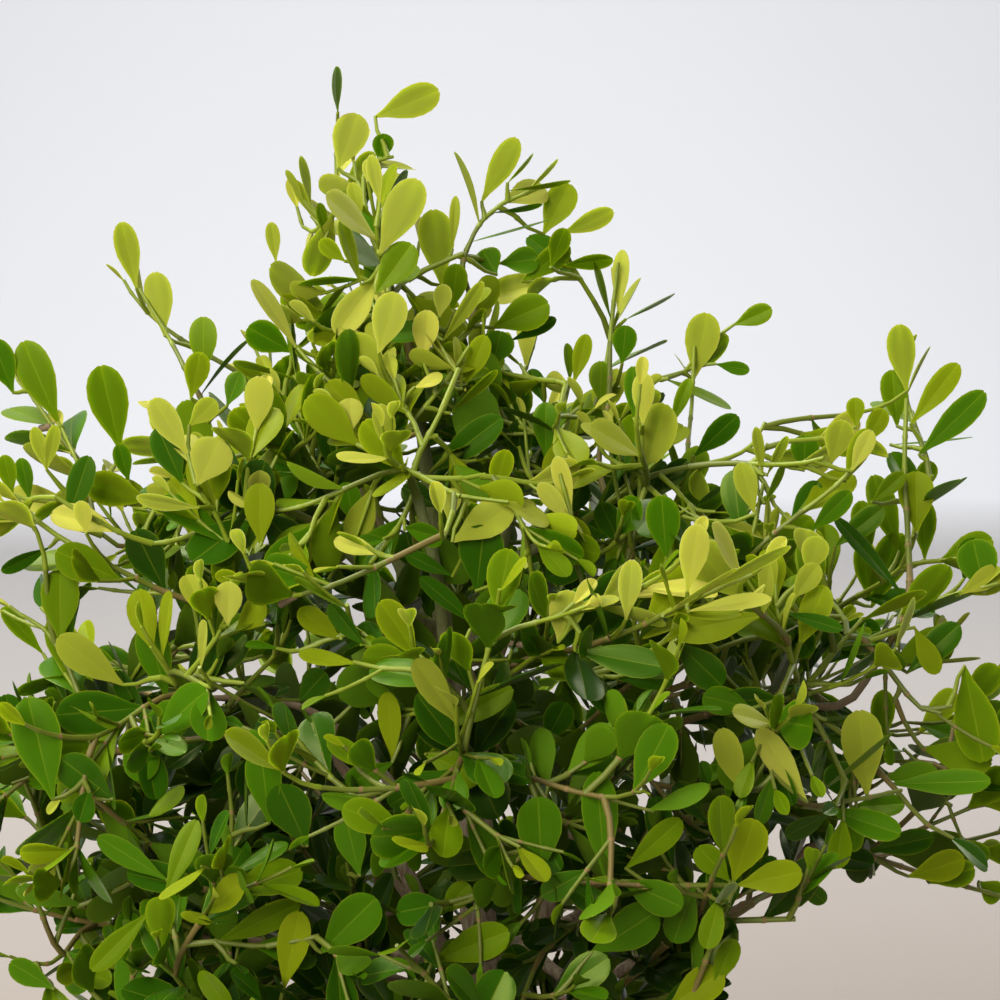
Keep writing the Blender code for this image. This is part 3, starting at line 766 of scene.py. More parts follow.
# New growth that runs on from the wood behind those tips, in the same columns. It stands
# out at the top and on the front, as it has grown since the plant was last clipped.
NEW_GROWTH = (
    ((71, -20, 300), 0, 78, 0.15), ((113, 15, 282), 0, 80, -0.05),
    ((130, 10, 268), 0, 55, -0.22), ((-113, -50, 291), 185, 60, 0.05),
    ((-104, -50, 286), 175, 80, 0.15), ((-114, -30, 263), 180, 85, -0.2),
    ((-100, -62, 251), 195, 40, 0.15), ((-91, -35, 247), 180, 82, -0.18),
    ((-113, -95, 239), 190, 60, -0.05), ((0, -60, 298), 0, 84, 0.05),
    ((17, -55, 295), 170, 72, 0.28), ((46, -112, 285), 170, 80, 0.35),
    ((60, -112, 282), 340, 28, 0.3), ((33, -95, 272), 180, 84, 0.12),
    ((18, -100, 269), 0, 84, 0.12), ((-20, -85, 256), 200, 35, 0.12),
    ((-65, -85, 267), 190, 70, 0.1), ((-59, -60, 288), 180, 82, 0.05),
    ((-10, -110, 231), 180, 20, -0.05), ((26, -100, 215), 175, 80, -0.05),
    ((12, -105, 213), 185, 84, -0.08), ((39, -95, 212), 0, 45, 0.0),
    ((62, -85, 206), 350, 60, 0.0), ((59, -75, 226), 170, 78, 0.15),
    ((71, -70, 226), 180, 55, 0.15), ((103, 20, 212), 170, 78, 0.1),
    ((118, -20, 246), 0, 30, -0.1), ((121, -40, 236), 175, 70, -0.1),
    ((-22, -110, 199), 185, 60, -0.05), ((-9, -112, 199), 0, 80, 0.0),
    ((-6, -115, 190), 350, 20, 0.0), ((-35, -110, 195), 190, 55, -0.02),
    ((-49, -105, 189), 200, 60, 0.02), ((153, 50, 184), 15, 5, 0.0),
    ((17, 151, 212), 84, 15, 0.0),
)

# Where the front shows through: left, right, low and high edge in millimetres, on the
# plane y = 0 as the front point sees it.
WINDOWS = (
    (65, 200, 0, 172), (84, 200, 0, 181), (98, 140, 189, 204), (104, 120, 217, 235),
    (-112, -99, 273, 283), (-111, -98, 246, 264), (-118, -103, 326, 348),
    (-92, -74, 333, 355), (16, 28, 327, 342), (67, 90, 303, 325), (-32, -23, 263, 284),
    (-140, -122, 159, 174), (-72, -60, 235, 243), (-48, -44, 378, 390),
    (-42, -34, 386, 396), (-70, -56, 366, 378), (-66, -53, 357, 365), (98, 108, 255, 266),
    (70, 80, 286, 300), (-28, -18, 375, 386), (88, 101, 311, 326), (117, 127, 271, 280),
    (-99, -83, 326, 334), (25, 39, 349, 359), (24, 29, 363, 370), (15, 28, 338, 345),
    (6, 14, 319, 326), (55, 65, 287, 296), (90, 99, 259, 272), (85, 98, 229, 242),
    (-103, -97, 232, 243), (-88, -80, 232, 243), (-79, -69, 227, 238), (37, 41, 207, 216),
    (-134, -127, 246, 264), (67, 79, 230, 239), (-58, -49, 235, 241),
    (-104, -94, 220, 228), (58, 65, 333, 340), (63, 73, 323, 330), (-70, -63, 338, 349),
    (-66, -60, 352, 359), (-103, -91, 324, 328), (-94, -86, 311, 321),
    (-89, -81, 243, 254), (-130, -124, 254, 265), (19, 28, 298, 304), (27, 34, 284, 299),
    (8, 13, 308, 318), (35, 42, 205, 218), (52, 61, 219, 227), (-60, -48, 207, 215),
    (-85, -79, 216, 224), (65, 84, 171, 178), (-134, -126, 148, 164),
    (-126, -115, 156, 163), (-134, -128, 189, 203), (-64, -58, 349, 359),
    (-46, -39, 264, 271),
)

# Leaves that lead the look of the front: root in millimetres, angle in degrees from the
# right up to the left as seen from the front, length and width in millimetres, turn of the
# upper side from the front in degrees, and tint; the dark tints of leaves in the crown's
# hollows are painted shade as well as their own green.
SHADE, DEEP, LEAF, GRASS, FRESH, SPRING, LIME, YELLOW = Tint
LEADING_LEAVES = (
    ((-43, 15, 388), 94, 13, 8, 64, GRASS), ((-43, 15, 373), 69, 16, 10, 0, LIME),
    ((-33, 18, 387), 22, 19, 9, 0, SPRING), ((-32, 16, 375), 76, 8, 6, 0, LEAF),
    ((-30, -30, 364), 100, 13, 4, 20, LIME), ((-30, -32, 351), 63, 22, 10, 180, LIME),
    ((-31, -32, 341), 54, 16, 9, 0, GRASS), ((-30, -40, 326), 74, 17, 9, 0, LIME),
    ((-19, -35, 324), 84, 13, 7, 0, YELLOW), ((-15, 20, 341), 96, 22, 10, 180, SPRING),
    ((-4, 15, 364), 61, 20, 7, 180, SPRING), ((-1, 10, 330), 24, 17, 10, 0, GRASS),
    ((0, 20, 344), 119, 8, 8, 0, LEAF), ((13, 25, 355), 63, 16, 9, 0, FRESH),
    ((-35, -25, 360), 105, 10, 4, 0, SPRING), ((-35, -28, 343), 109, 18, 6, 50, FRESH),
    ((-21, -38, 317), 22, 8, 5, -40, YELLOW), ((-37, -45, 306), 93, 9, 7, 0, LIME),
    ((-55, 0, 324), 149, 14, 9, 0, LEAF), ((-52, -30, 327), 119, 21, 7, 65, LIME),
    ((-51, 24, 363), 98, 14, 6, 70, SPRING), ((-59, 0, 348), 97, 11, 4, 0, SPRING),
    ((-17, -35, 295), 38, 24, 8, 0, DEEP), ((6, -12, 293), 89, 14, 7, 0, SHADE),
    ((13, -18, 297), 90, 15, 7, 0, LEAF), ((-11, -62, 280), 31, 18, 10, -35, SPRING),
    ((-1, -55, 291), 73, 13, 6, 0, FRESH), ((-12, -60, 285), 82, 9, 5, 0, LIME),
    ((19, -60, 287), 105, 15, 5, 0, YELLOW), ((19, -62, 285), 130, 13, 5, 0, LIME),
    ((15, -98, 260), 76, 13, 9, 0, LIME), ((-5, -58, 267), 83, 18, 12, 0, DEEP),
    ((43, -55, 275), 95, 17, 9, 0, LEAF), ((45, -112, 274), 82, 17, 7, 0, YELLOW),
    ((31, -102, 266), 84, 15, 6, 0, LIME), ((19, -98, 258), -10, 22, 8, -30, DEEP),
    ((44, -84, 258), -44, 16, 9, 0, DEEP), ((67, -35, 284), 106, 14, 6, 0, SPRING),
    ((38, -22, 292), 72, 21, 11, 0, SPRING), ((38, -32, 307), 90, 14, 6, 0, YELLOW),
    ((56, 45, 314), 79, 19, 10, 0, SPRING), ((67, 45, 329), 24, 12, 6, 0, GRASS),
    ((34, 34, 333), 87, 18, 5, 0, LIME), ((113, 20, 312), 98, 19, 8, 180, SPRING),
    ((114, 18, 303), 52, 22, 7, 0, FRESH), ((116, 15, 295), 45, 25, 8, 0, LEAF),
    ((115, 10, 274), 91, 17, 10, 0, FRESH), ((131, -10, 260), 104, 15, 11, 0, LEAF),
    ((109, -20, 240), 44, 19, 8, 0, DEEP), ((110, -26, 253), -63, 14, 6, 180, FRESH),
    ((122, -34, 244), -78, 26, 12, 0, GRASS), ((76, -88, 219), 123, 23, 7, 0, LIME),
    ((60, -92, 222), 110, 17, 7, 0, SPRING), ((94, -60, 215), 95, 22, 11, 0, SPRING),
    ((81, -64, 216), 40, 25, 6, 50, GRASS), ((83, -66, 213), -18, 20, 8, -30, LEAF),
    ((101, -50, 216), 2, 26, 7, -20, LEAF), ((57, -104, 203), 73, 17, 10, 0, FRESH),
    ((58, -104, 202), 12, 16, 8, -25, FRESH), ((54, -104, 200), -104, 14, 6, 0, GRASS),
    ((110, -20, 185), 16, 16, 9, 0, FRESH), ((-14, -88, 237), 30, 21, 7, 0, GRASS),
    ((-17, -94, 232), -22, 15, 9, 0, GRASS), ((11, -108, 206), 93, 20, 11, 0, LEAF),
    ((26, -108, 205), 94, 26, 9, 0, LEAF), ((31, -108, 207), 42, 18, 7, 0, GRASS),
    ((56, -104, 203), 131, 12, 7, 0, GRASS), ((30, -108, 204), -23, 16, 9, 0, LEAF),
    ((48, -100, 201), -110, 16, 8, 0, LEAF), ((23, -106, 186), 30, 19, 11, 0, LEAF),
    ((-15, -110, 185), 23, 20, 9, 0, GRASS), ((-13, -108, 196), 48, 10, 6, 0, GRASS),
    ((42, -96, 170), 34, 16, 9, 0, FRESH), ((-112, -45, 252), 90, 19, 10, 0, GRASS),
    ((-95, -52, 242), 142, 21, 9, 0, SPRING), ((-84, -52, 239), 104, 20, 9, 0, LEAF),
    ((-108, -90, 220), 103, 26, 12, 0, LEAF), ((-94, -84, 219), 139, 17, 10, 0, DEEP),
    ((-77, -86, 212), 107, 22, 10, 0, LEAF), ((-55, -94, 215), 95, 20, 9, 0, LEAF),
    ((-46, -92, 209), 112, 18, 11, 0, DEEP), ((-33, -98, 203), 103, 15, 8, 0, LEAF),
    ((-25, -94, 230), -152, 13, 7, 0, LEAF), ((-25, -92, 230), 94, 18, 6, 0, FRESH),
    ((-80, -98, 198), 68, 20, 6, 0, GRASS), ((-80, -94, 201), 148, 20, 6, 0, LEAF),
    ((-67, -104, 188), 24, 22, 7, 0, GRASS), ((-51, -106, 177), 78, 20, 8, 0, FRESH),
    ((-42, -106, 186), 45, 19, 11, 0, LEAF), ((-16, -110, 193), 134, 17, 10, 0, LEAF),
    ((-84, -98, 194), -135, 20, 6, 0, GRASS), ((-65, -90, 263), 87, 11, 7, 0, LIME),
    ((-38, -80, 258), 144, 13, 6, 0, FRESH), ((-100, 30, 340), 102, 19, 7, 0, SPRING),
    ((-92, 27, 327), 98, 18, 8, 180, LIME), ((-80, 15, 317), 92, 16, 8, 0, GRASS),
    ((-102, 5, 297), 101, 24, 11, 0, GRASS), ((-118, 0, 305), 113, 24, 10, 0, GRASS),
    ((-130, 0, 313), 108, 16, 8, 0, LEAF), ((-78, -52, 301), 121, 17, 7, 0, LIME),
    ((-75, -58, 294), 64, 13, 11, 0, LIME), ((-75, -56, 288), 174, 16, 6, -40, LIME),
    ((-78, -48, 308), 44, 10, 6, 0, SPRING), ((-80, -46, 293), 113, 16, 8, 0, DEEP),
    ((-59, -62, 279), 91, 16, 8, 0, FRESH), ((-86, -35, 264), 115, 18, 10, 0, SHADE),
    ((-112, -30, 281), 71, 19, 7, 0, DEEP), ((-104, -52, 281), 96, 9, 5, 0, YELLOW),
    ((-117, -30, 295), 104, 12, 4, 0, SPRING), ((-117, -30, 295), 76, 13, 4, 0, SPRING),
    ((62, 45, 318), -11, 10, 4, 0, LEAF), ((54, 10, 295), 45, 17, 7, 0, DEEP),
    ((39, -10, 284), 44, 17, 6, 0, SHADE), ((52, -12, 283), 34, 10, 4, 60, DEEP),
    ((64, -28, 278), 98, 17, 8, 0, DEEP), ((70, -24, 293), 100, 13, 4, 40, SPRING),
    ((71, -24, 293), 65, 12, 4, 40, SPRING), ((83, 0, 292), 89, 10, 8, 0, LEAF),
    ((70, -28, 286), 59, 12, 4, 40, GRASS), ((76, -30, 280), 82, 16, 6, 0, FRESH),
    ((80, -34, 284), 64, 15, 9, 0, LIME), ((88, -22, 296), 75, 12, 8, 0, SPRING),
    ((91, -30, 292), 69, 15, 6, 0, FRESH), ((92, -34, 295), 64, 12, 5, 0, LIME),
    ((95, -16, 305), 91, 8, 5, 0, FRESH), ((111, 24, 302), 94, 16, 8, 0, GRASS),
    ((109, 22, 297), 4, 23, 6, 80, LEAF), ((110, -4, 258), 128, 29, 6, 52, DEEP),
    ((82, -26, 283), 8, 16, 5, 65, DEEP), ((126, -4, 263), 76, 12, 9, 0, DEEP),
    ((124, -12, 260), 32, 13, 6, 0, SPRING), ((78, -62, 272), 72, 10, 7, 0, SPRING),
    ((74, -66, 266), 54, 11, 6, 0, SPRING), ((72, -68, 263), -14, 15, 5, -40, DEEP),
    ((106, 35, 250), 71, 23, 11, 0, GRASS), ((113, 32, 266), 109, 23, 8, 0, GRASS),
    ((117, 28, 283), 63, 10, 6, 0, GRASS), ((45, -116, 270), 15, 20, 5, -62, LIME),
    ((48, -116, 274), 30, 24, 5, 58, SPRING), ((39, -116, 269), 33, 21, 5, 60, LIME),
    ((3, 15, 369), 47, 11, 5, 65, FRESH), ((3, 16, 367), 6, 18, 5, 70, FRESH),
    ((-1, 16, 361), 7, 14, 5, 80, LEAF), ((-7, 18, 353), 15, 23, 6, 80, LEAF),
    ((18, 30, 355), 22, 16, 6, 0, SPRING), ((7, 26, 342), 36, 17, 7, 0, GRASS),
    ((18, 30, 346), 10, 15, 6, 30, GRASS), ((3, 26, 342), 75, 11, 8, 0, DEEP),
    ((4, 20, 326), 24, 14, 5, 30, DEEP), ((-1, 0, 320), 76, 10, 9, 0, LEAF),
    ((-12, 8, 335), 84, 13, 7, 0, GRASS), ((-15, -14, 334), 81, 9, 5, 0, LIME),
    ((-14, -18, 328), 54, 19, 5, 40, SPRING), ((-9, -30, 316), 92, 14, 4, 45, SPRING),
    ((-8, -26, 317), 68, 14, 6, 0, FRESH), ((-12, -34, 310), 43, 17, 6, 70, FRESH),
    ((32, 32, 331), 108, 18, 6, 60, GRASS), ((21, 8, 315), 75, 14, 5, 0, FRESH),
    ((20, 10, 315), 90, 11, 4, 40, GRASS), ((19, 12, 319), 134, 8, 4, 60, GRASS),
    ((13, 4, 310), 112, 10, 5, 0, DEEP), ((36, 34, 331), 28, 16, 6, 75, LEAF),
    ((36, -24, 308), 92, 14, 5, 0, LEAF), ((29, 28, 308), 90, 12, 7, 0, GRASS),
    ((-64, 10, 240), 42, 11, 7, 0, DEEP), ((-41, -10, 251), 64, 11, 8, 0, DEEP),
    ((-45, 0, 223), 28, 12, 7, 0, DEEP), ((13, -20, 221), 64, 13, 8, 0, DEEP),
    ((24, -20, 223), 57, 9, 7, 0, DEEP), ((-51, 26, 360), 113, 11, 4, 30, SPRING),
    ((-47, 22, 354), 96, 10, 4, 40, GRASS), ((-41, 10, 348), 141, 9, 5, 0, FRESH),
    ((91, -48, 211), 111, 11, 9, 0, DEEP), ((85, -58, 210), -152, 13, 7, -20, DEEP),
    ((117, -10, 181), 20, 13, 8, 0, GRASS), ((132, 0, 179), -37, 8, 7, 0, GRASS),
    ((100, -16, 191), 12, 18, 7, -20, DEEP), ((-115, -40, 276), -154, 14, 5, -50, DEEP),
    ((-125, -36, 289), 100, 11, 5, 0, GRASS), ((-21, -28, 268), 104, 11, 9, 0, DEEP),
    ((-11, -52, 270), 152, 14, 5, 40, DEEP), ((-5, -56, 258), 139, 19, 6, 30, DEEP),
    ((-37, -32, 281), 99, 12, 7, 0, LEAF), ((-15, -26, 285), 152, 11, 7, 0, SHADE),
    ((-18, -22, 255), 79, 12, 7, 0, DEEP), ((17, -20, 281), 58, 12, 8, 0, SHADE),
    ((33, -22, 274), 116, 13, 7, 0, DEEP), ((27, -40, 239), 32, 12, 8, 0, DEEP),
    ((-51, -40, 236), 47, 11, 8, 0, DEEP), ((-7, -40, 239), 116, 12, 8, 0, DEEP),
    ((-83, 8, 311), 77, 13, 7, 0, FRESH), ((-73, 6, 309), 68, 10, 6, 0, LEAF),
    ((35, 30, 319), 85, 11, 7, 0, LEAF), ((15, 24, 346), 71, 12, 6, 0, GRASS),
    ((-53, 24, 364), 116, 10, 3, 40, SPRING), ((-12, 14, 351), 86, 15, 3, 0, SPRING),
    ((47, 0, 304), 69, 14, 4, 0, GRASS), ((120, 30, 264), 91, 17, 7, 0, GRASS),
    ((105, 34, 252), 96, 17, 7, 0, GRASS), ((102, 5, 283), 41, 12, 5, 0, GRASS),
    ((84, -20, 281), 30, 11, 5, 0, SPRING), ((107, 20, 213), 87, 16, 7, 0, GRASS),
    ((-123, -20, 286), 99, 12, 5, 0, LEAF), ((-98, -10, 290), 103, 11, 5, 0, LEAF),
    ((53, -96, 175), 67, 13, 6, 0, GRASS), ((-113, -60, 165), 149, 13, 7, 0, LEAF),
    ((77, -60, 193), -40, 9, 5, 0, DEEP), ((82, -30, 279), 45, 15, 6, 0, LEAF),
    ((91, -25, 286), 34, 14, 5, 0, GRASS), ((93, 12, 270), 41, 17, 7, 0, LEAF),
    ((103, 20, 265), 98, 17, 7, 0, GRASS), ((77, -26, 281), 55, 13, 6, 0, DEEP),
    ((1, 26, 347), 6, 11, 8, 0, LEAF), ((101, 14, 298), 61, 11, 6, 0, FRESH),
    ((-120, -20, 245), 128, 17, 5, 0, GRASS), ((91, -50, 210), 6, 14, 6, 0, LEAF),
)

# Twigs that lead the look of the front: points in millimetres, then radius at foot and tip.
LEADING_TWIGS = (
    (((1, -30, 246), (-5, -40, 262), (-11, -46, 273), (-16, -46, 286), (-25, -42, 306),
      (-29, -38, 327), (-32, -36, 351)), 1.3, 0.7),
    (((1, -60, 252), (18, -85, 256), (34, -100, 264), (48, -112, 273),
      (61, -114, 279)), 0.9, 0.6),
    (((91, -20, 231), (102, -15, 243), (110, -8, 255), (112, 5, 273), (112, 14, 291),
      (113, 20, 310)), 1.2, 0.6),
    (((110, -8, 255), (121, -10, 259), (134, -12, 263)), 0.9, 0.6),
    (((-73, -35, 258), (-87, -40, 265), (-103, -44, 274), (-116, -44, 282),
      (-125, -44, 291)), 0.9, 0.6),
    (((76, -66, 214), (89, -66, 215), (103, -58, 216)), 0.8, 0.5),
    (((66, -30, 271), (77, -30, 282), (87, -32, 290), (96, -32, 299)), 0.8, 0.5),
    (((66, -30, 271), (68, -28, 282), (70, -25, 291)), 0.7, 0.5),
    (((32, -30, 264), (37, -25, 281), (38, -25, 297), (38, -28, 312)), 0.9, 0.6),
    (((-7, 5, 330), (-9, 12, 348), (-2, 15, 361), (12, 18, 368)), 0.8, 0.5),
    (((-33, 8, 338), (-40, 18, 356), (-44, 26, 371), (-44, 26, 381)), 0.8, 0.5),
    (((-79, 10, 305), (-85, 15, 318), (-92, 25, 329), (-99, 28, 340)), 0.8, 0.5),
    (((-67, -45, 273), (-71, -50, 285), (-76, -54, 294)), 0.8, 0.5),
    (((85, -30, 196), (103, -18, 189), (121, -6, 181), (138, 0, 175)), 1.0, 0.6),
    (((-23, -42, 306), (-14, -34, 317), (-7, -28, 327)), 0.7, 0.5),
    (((-25, -42, 304), (-39, -36, 315), (-51, -30, 326), (-59, -26, 337)), 0.7, 0.5),
    (((-101, -25, 275), (-109, -15, 291), (-117, -2, 304)), 0.7, 0.5),
    (((24, -62, 260), (20, -62, 275), (19, -61, 285), (16, -60, 297)), 0.8, 0.5),
    (((47, -94, 171), (52, -100, 186), (57, -104, 201)), 0.8, 0.6),
    (((1, -100, 205), (15, -106, 204), (34, -108, 203), (56, -104, 202)), 0.8, 0.6),
    (((28, 10, 291), (31, 22, 309), (32, 32, 330), (34, 34, 347)), 0.9, 0.5),
    (((53, 22, 291), (55, 38, 308), (56, 45, 323)), 0.7, 0.5),
)


@dataclass(frozen=True)
class LeadingTwig:
    """A twig placed by itself: its knots, and its radius at foot and tip."""

    knots: Vec
    foot: float
    tip: float


@dataclass(frozen=True)
class LeadingLeaf:
    """A leaf placed by itself."""

    root: Vec
    heading: Vec
    upper: Vec
    length: float
    width: float
    tint: int
    centre: float = 0.55        # share of the length from the root to the middle

    def middle(self) -> Vec:
        """Middle of its blade."""
        return self.root + self.heading * self.length * self.centre


@dataclass
class CrownRule:
    """How the crown is shared out and grown: the rule that the solids follow too."""

    outline: tuple[tuple[float, float], ...] = (
        (0.128, 0.090), (0.150, 0.120), (0.180, 0.140), (0.215, 0.144), (0.250, 0.130),
        (0.280, 0.100), (0.305, 0.070), (0.325, 0.046), (0.345, 0.028), (0.370, 0.010),
    )
    gaps: tuple[tuple[tuple[float, float], tuple[float, float]], ...] = (
        ((-0.200, -0.085), (0.236, 0.266)), ((0.054, 0.200), (0.000, 0.196)),
    )
    bottom: float = 0.138
    top: float = 0.364
    lean: float = -0.030
    lean_start: float = 0.190
    samples: int = 200
    shoot_count: int = 158
    shoot_spacing: float = 0.024
    shoot_depth: float = 0.012
    shoot_sway: float = 0.12
    shoot_lift: float = 0.5
    crown_lift: float = 1.6
    seed: int = 20
    rings: tuple[Ring, ...] = (
        Ring("lower", 6, 0.172, 0.100, 0.0, 0.044, 0.012),
        Ring("middle", 6, 0.238, 0.098, 30.0, 0.042, 0.024),
        Ring("upper", 5, 0.304, 0.060, 54.0, 0.030, 0.030),
    )
    top_height: float = 0.360
    top_root_height: float = 0.318
    front_mass: str = "upper_4"
    front_root: Place = (-0.020, -0.050, 0.290)
    front_rise: Place = (-0.35, 0.0, 1.0)
    trunk_profile: tuple[tuple[float, float], ...] = (
        (0.000, 0.0105), (0.003, 0.0080), (0.009, 0.0070), (0.020, 0.0066),
        (0.034, 0.0061), (0.0455, 0.0056),
    )
    trunk_lean: float = -0.004
    soil_top: float = 0.112
    clearance: float = 0.0003
    limb_points: int = 6
    limb_tip_radius: float = 0.0014
    limb_spread: float = 0.8
    new_run_on: float = 0.001
    finer_count: int = 900      # finer shoots, in and under the outline
    finer_stride: float = 0.7548776662      # share of the height from one to the next
    finer_foot: float = 0.004
    finer_head: float = 0.016
    finer_low: float = 1.12     # more than 1 lays more of them low down
    finer_spacing: float = 0.0105
    finer_least: float = 0.012
    finer_depth: float = 0.060
    finer_deepest: float = 1.2  # share of that depth at the crown's foot
    finer_thinning: float = 0.7
    finer_core: float = 0.010
    finer_lift: tuple[float, float] = (0.1, 0.7)
    finer_tone: tuple[float, float] = (-0.04, 0.05)     # mean and spread
    finer_seed: int = 4
    finer_run_on: float = 0.004
    eye_distance: float = 0.845     # the crown opens to a point in front of it
    eye_height: float = 0.373
    shown: float = 0.44             # share of a leading leaf's length kept clear before it
    shown_behind: float = 0.002
    leading_lean: tuple[float, float] = (-6.0, 16.0)        # degrees towards the front
    leading_roll: tuple[float, float] = (-14.0, 14.0)
    masses: dict[str, Mass] = field(init=False)
    forms: dict[str, LimbForm] = field(init=False)
    shoots: list[Shoot] = field(init=False)
    new_growth: list[Shoot] = field(init=False)
    finer: list[Shoot] = field(init=False)
    leading: list[LeadingLeaf] = field(init=False)
    leading_twigs: list[LeadingTwig] = field(init=False)

    def __post_init__(self) -> None:
        """Work out the masses, the limbs and the shoots."""
        rng = random.Random(self.seed)
        self.leading = [self._leading(*row, rng) for row in LEADING_LEAVES]
        self.leading_twigs = [LeadingTwig(np.array(knots) / MM, foot / MM, tip / MM)
                              for knots, foot, tip in LEADING_TWIGS]
        self.masses = self._lay_masses()
        self.forms = self._shape_limbs()
        self.shoots = self._lay_shoots()
        self.new_growth = [self._shoot(*row, run_on=self.new_run_on) for row in NEW_GROWTH]
        self.finer = self._lay_finer()

    def radius(self, height: Vec | float) -> Vec:
        """Radius of the crown's outline at a height."""
        heights, radii = zip(*self.outline)
        return np.interp(height, heights, radii)

    def axis(self, height: Vec | float) -> Vec:
        """Middle of the crown at a height, on an axis that leans from lean_start up."""
        height = np.asarray(height, dtype=float)
        rise = np.maximum(0.0, height - self.lean_start) / (self.top - self.lean_start)
        return np.stack((self.lean * rise, np.zeros_like(height), height), axis=-1)

    def inside(self, points: Vec, name: str, margin: float) -> NDArray[np.bool_]:
        """Where points lie in a mass's own space.

        The space holds what is nearer to the mass's middle than to any other's, less the
        margin from the plane halfway to each.

        Args:
            points: Places, with shape (n, 3).
            name: The mass.
            margin: Least distance from the edge of the space.

        Returns:
            True for each point that lies inside.
        """
        middle = self.masses[name].middle
        others = np.array([mass.middle for key, mass in self.masses.items() if key != name])
        across = unit(others - middle)
        halfway = (others + middle) / 2.0
        beyond = ((points[:, None, :] - halfway) * across).sum(-1)
        return (beyond <= -margin).all(axis=1)

    def depth(self, points: Vec) -> Vec:
        """How far points lie inside the crown's outline, level with them."""
        middles = self.axis(points[:, 2])
        reach = np.linalg.norm(points[:, :2] - middles[:, :2], axis=1)
        return self.radius(points[:, 2]) - reach

    def in_gap(self, point: Vec) -> bool:
        """Whether a point lies in one of the crown's gaps."""
        return any(left < point[0] < right and low < point[2] < high
                   for (left, right), (low, high) in self.gaps)

    def seen(self, points: Vec) -> Vec:
        """Where points are seen against the plane y = 0 from the front point."""
        share = (self.eye_distance / (self.eye_distance + points[:, 1]))[:, None]
        return points[:, ::2] * share + np.array((0.0, self.eye_height)) * (1.0 - share)

    def covers(self, points: Vec) -> NDArray[np.bool_]:
        """Whether points stand in a window of the crown or before a leading leaf.

        Args:
            points: Places, with shape (n, 3).

        Returns:
            True for each point that does.
        """
        seen = self.seen(points)
        covers = np.zeros(len(points), dtype=bool)
        for left, right, low, high in np.array(WINDOWS) / MM:
            covers |= ((seen[:, 0] > left) & (seen[:, 0] < right)
                       & (seen[:, 1] > low) & (seen[:, 1] < high))
        middles = np.array([leaf.middle() for leaf in self.leading])
        lengths = np.array([leaf.length for leaf in self.leading])
        apart = np.linalg.norm(seen[:, None] - self.seen(middles)[None], axis=2)
        before = points[:, None, 1] < middles[None, :, 1] + self.shown_behind
        return covers | ((apart < self.shown * lengths) & before).any(axis=1)

    def _leading(self, root: Place, angle: float, length: int, width: int, facing: float,
                 tint: Tint, rng: random.Random) -> LeadingLeaf:
        """A leading leaf from its row, with a little sway.

        Args:
            root: Its root in millimetres.
            angle: Its angle from the right, in degrees, as seen from the front.
            length: Its length in millimetres.
            width: Its width in millimetres.
            facing: Turn of its upper side from the front, in degrees.
            tint: Its tint.
            rng: Where the sway comes from.

        Returns:
            The leaf, in metres.
        """
        turn, lean = math.radians(angle), math.radians(rng.uniform(*self.leading_lean))
        heading = np.array((math.cos(turn) * math.cos(lean), -math.sin(lean),
                            math.sin(turn) * math.cos(lean)))
        roll = math.radians(facing + rng.uniform(*self.leading_roll))
        front = np.array((0.0, -1.0, 0.0))
        upper = front * math.cos(roll) + unit(np.cross(heading, front)) * math.sin(roll)
        return LeadingLeaf(np.array(root) / MM, heading, upper, length / MM, width / MM,
                           list(Tint).index(tint))

    def _lay_masses(self) -> dict[str, Mass]:
        """Middle and root of each mass."""
        masses = {"top": Mass(self.axis(self.top_height), self.axis(self.top_root_height))}
        for ring in self.rings:
            for index in range(ring.count):
                azimuth = math.radians(ring.first_azimuth + index * 360.0 / ring.count)
                outward = level(azimuth)
                middle = self.axis(ring.height) + outward * ring.reach
                root = self.axis(ring.height - ring.root_drop) + outward * ring.root_reach
                masses[f"{ring.name}_{index + 1}"] = Mass(middle, root)
        front = masses[self.front_mass]
        masses[self.front_mass] = Mass(front.middle, np.array(self.front_root))
        return masses

    def _shape_limbs(self) -> dict[str, LimbForm]:
        """Path and radii of the trunk and of each limb, which starts on its parent's axis."""
        fork = self.trunk_profile[-1][0]
        rises, radii = np.array(self.trunk_profile).T
        path = np.stack((self.trunk_lean * (rises / fork) ** 2, np.zeros_like(rises),
                         self.soil_top + self.clearance + rises), axis=-1)
        forms = {"trunk": LimbForm(path, radii)}
        for name, limb in LIMBS.items():
            start, along = point_along(forms[limb.parent].path, limb.fraction)
            mass = self.masses[limb.mass]
            run = mass.root - start
            outward = unit(run * (1.0, 1.0, 0.0))
            if limb.fraction == 1.0:
                start, leave = start + along * self.clearance, along
            else:
                leave = unit(unit(run) + outward * self.limb_spread)
            arrive = unit(unit(mass.middle - mass.root) + unit(run))
            if limb.mass == self.front_mass:
                arrive = unit(np.array(self.front_rise))
            path = curved_path(start, leave, mass.root, arrive, self.limb_points)
            forms[name] = LimbForm(path, np.linspace(limb.radius, self.limb_tip_radius,
                                                     self.limb_points))
        return forms

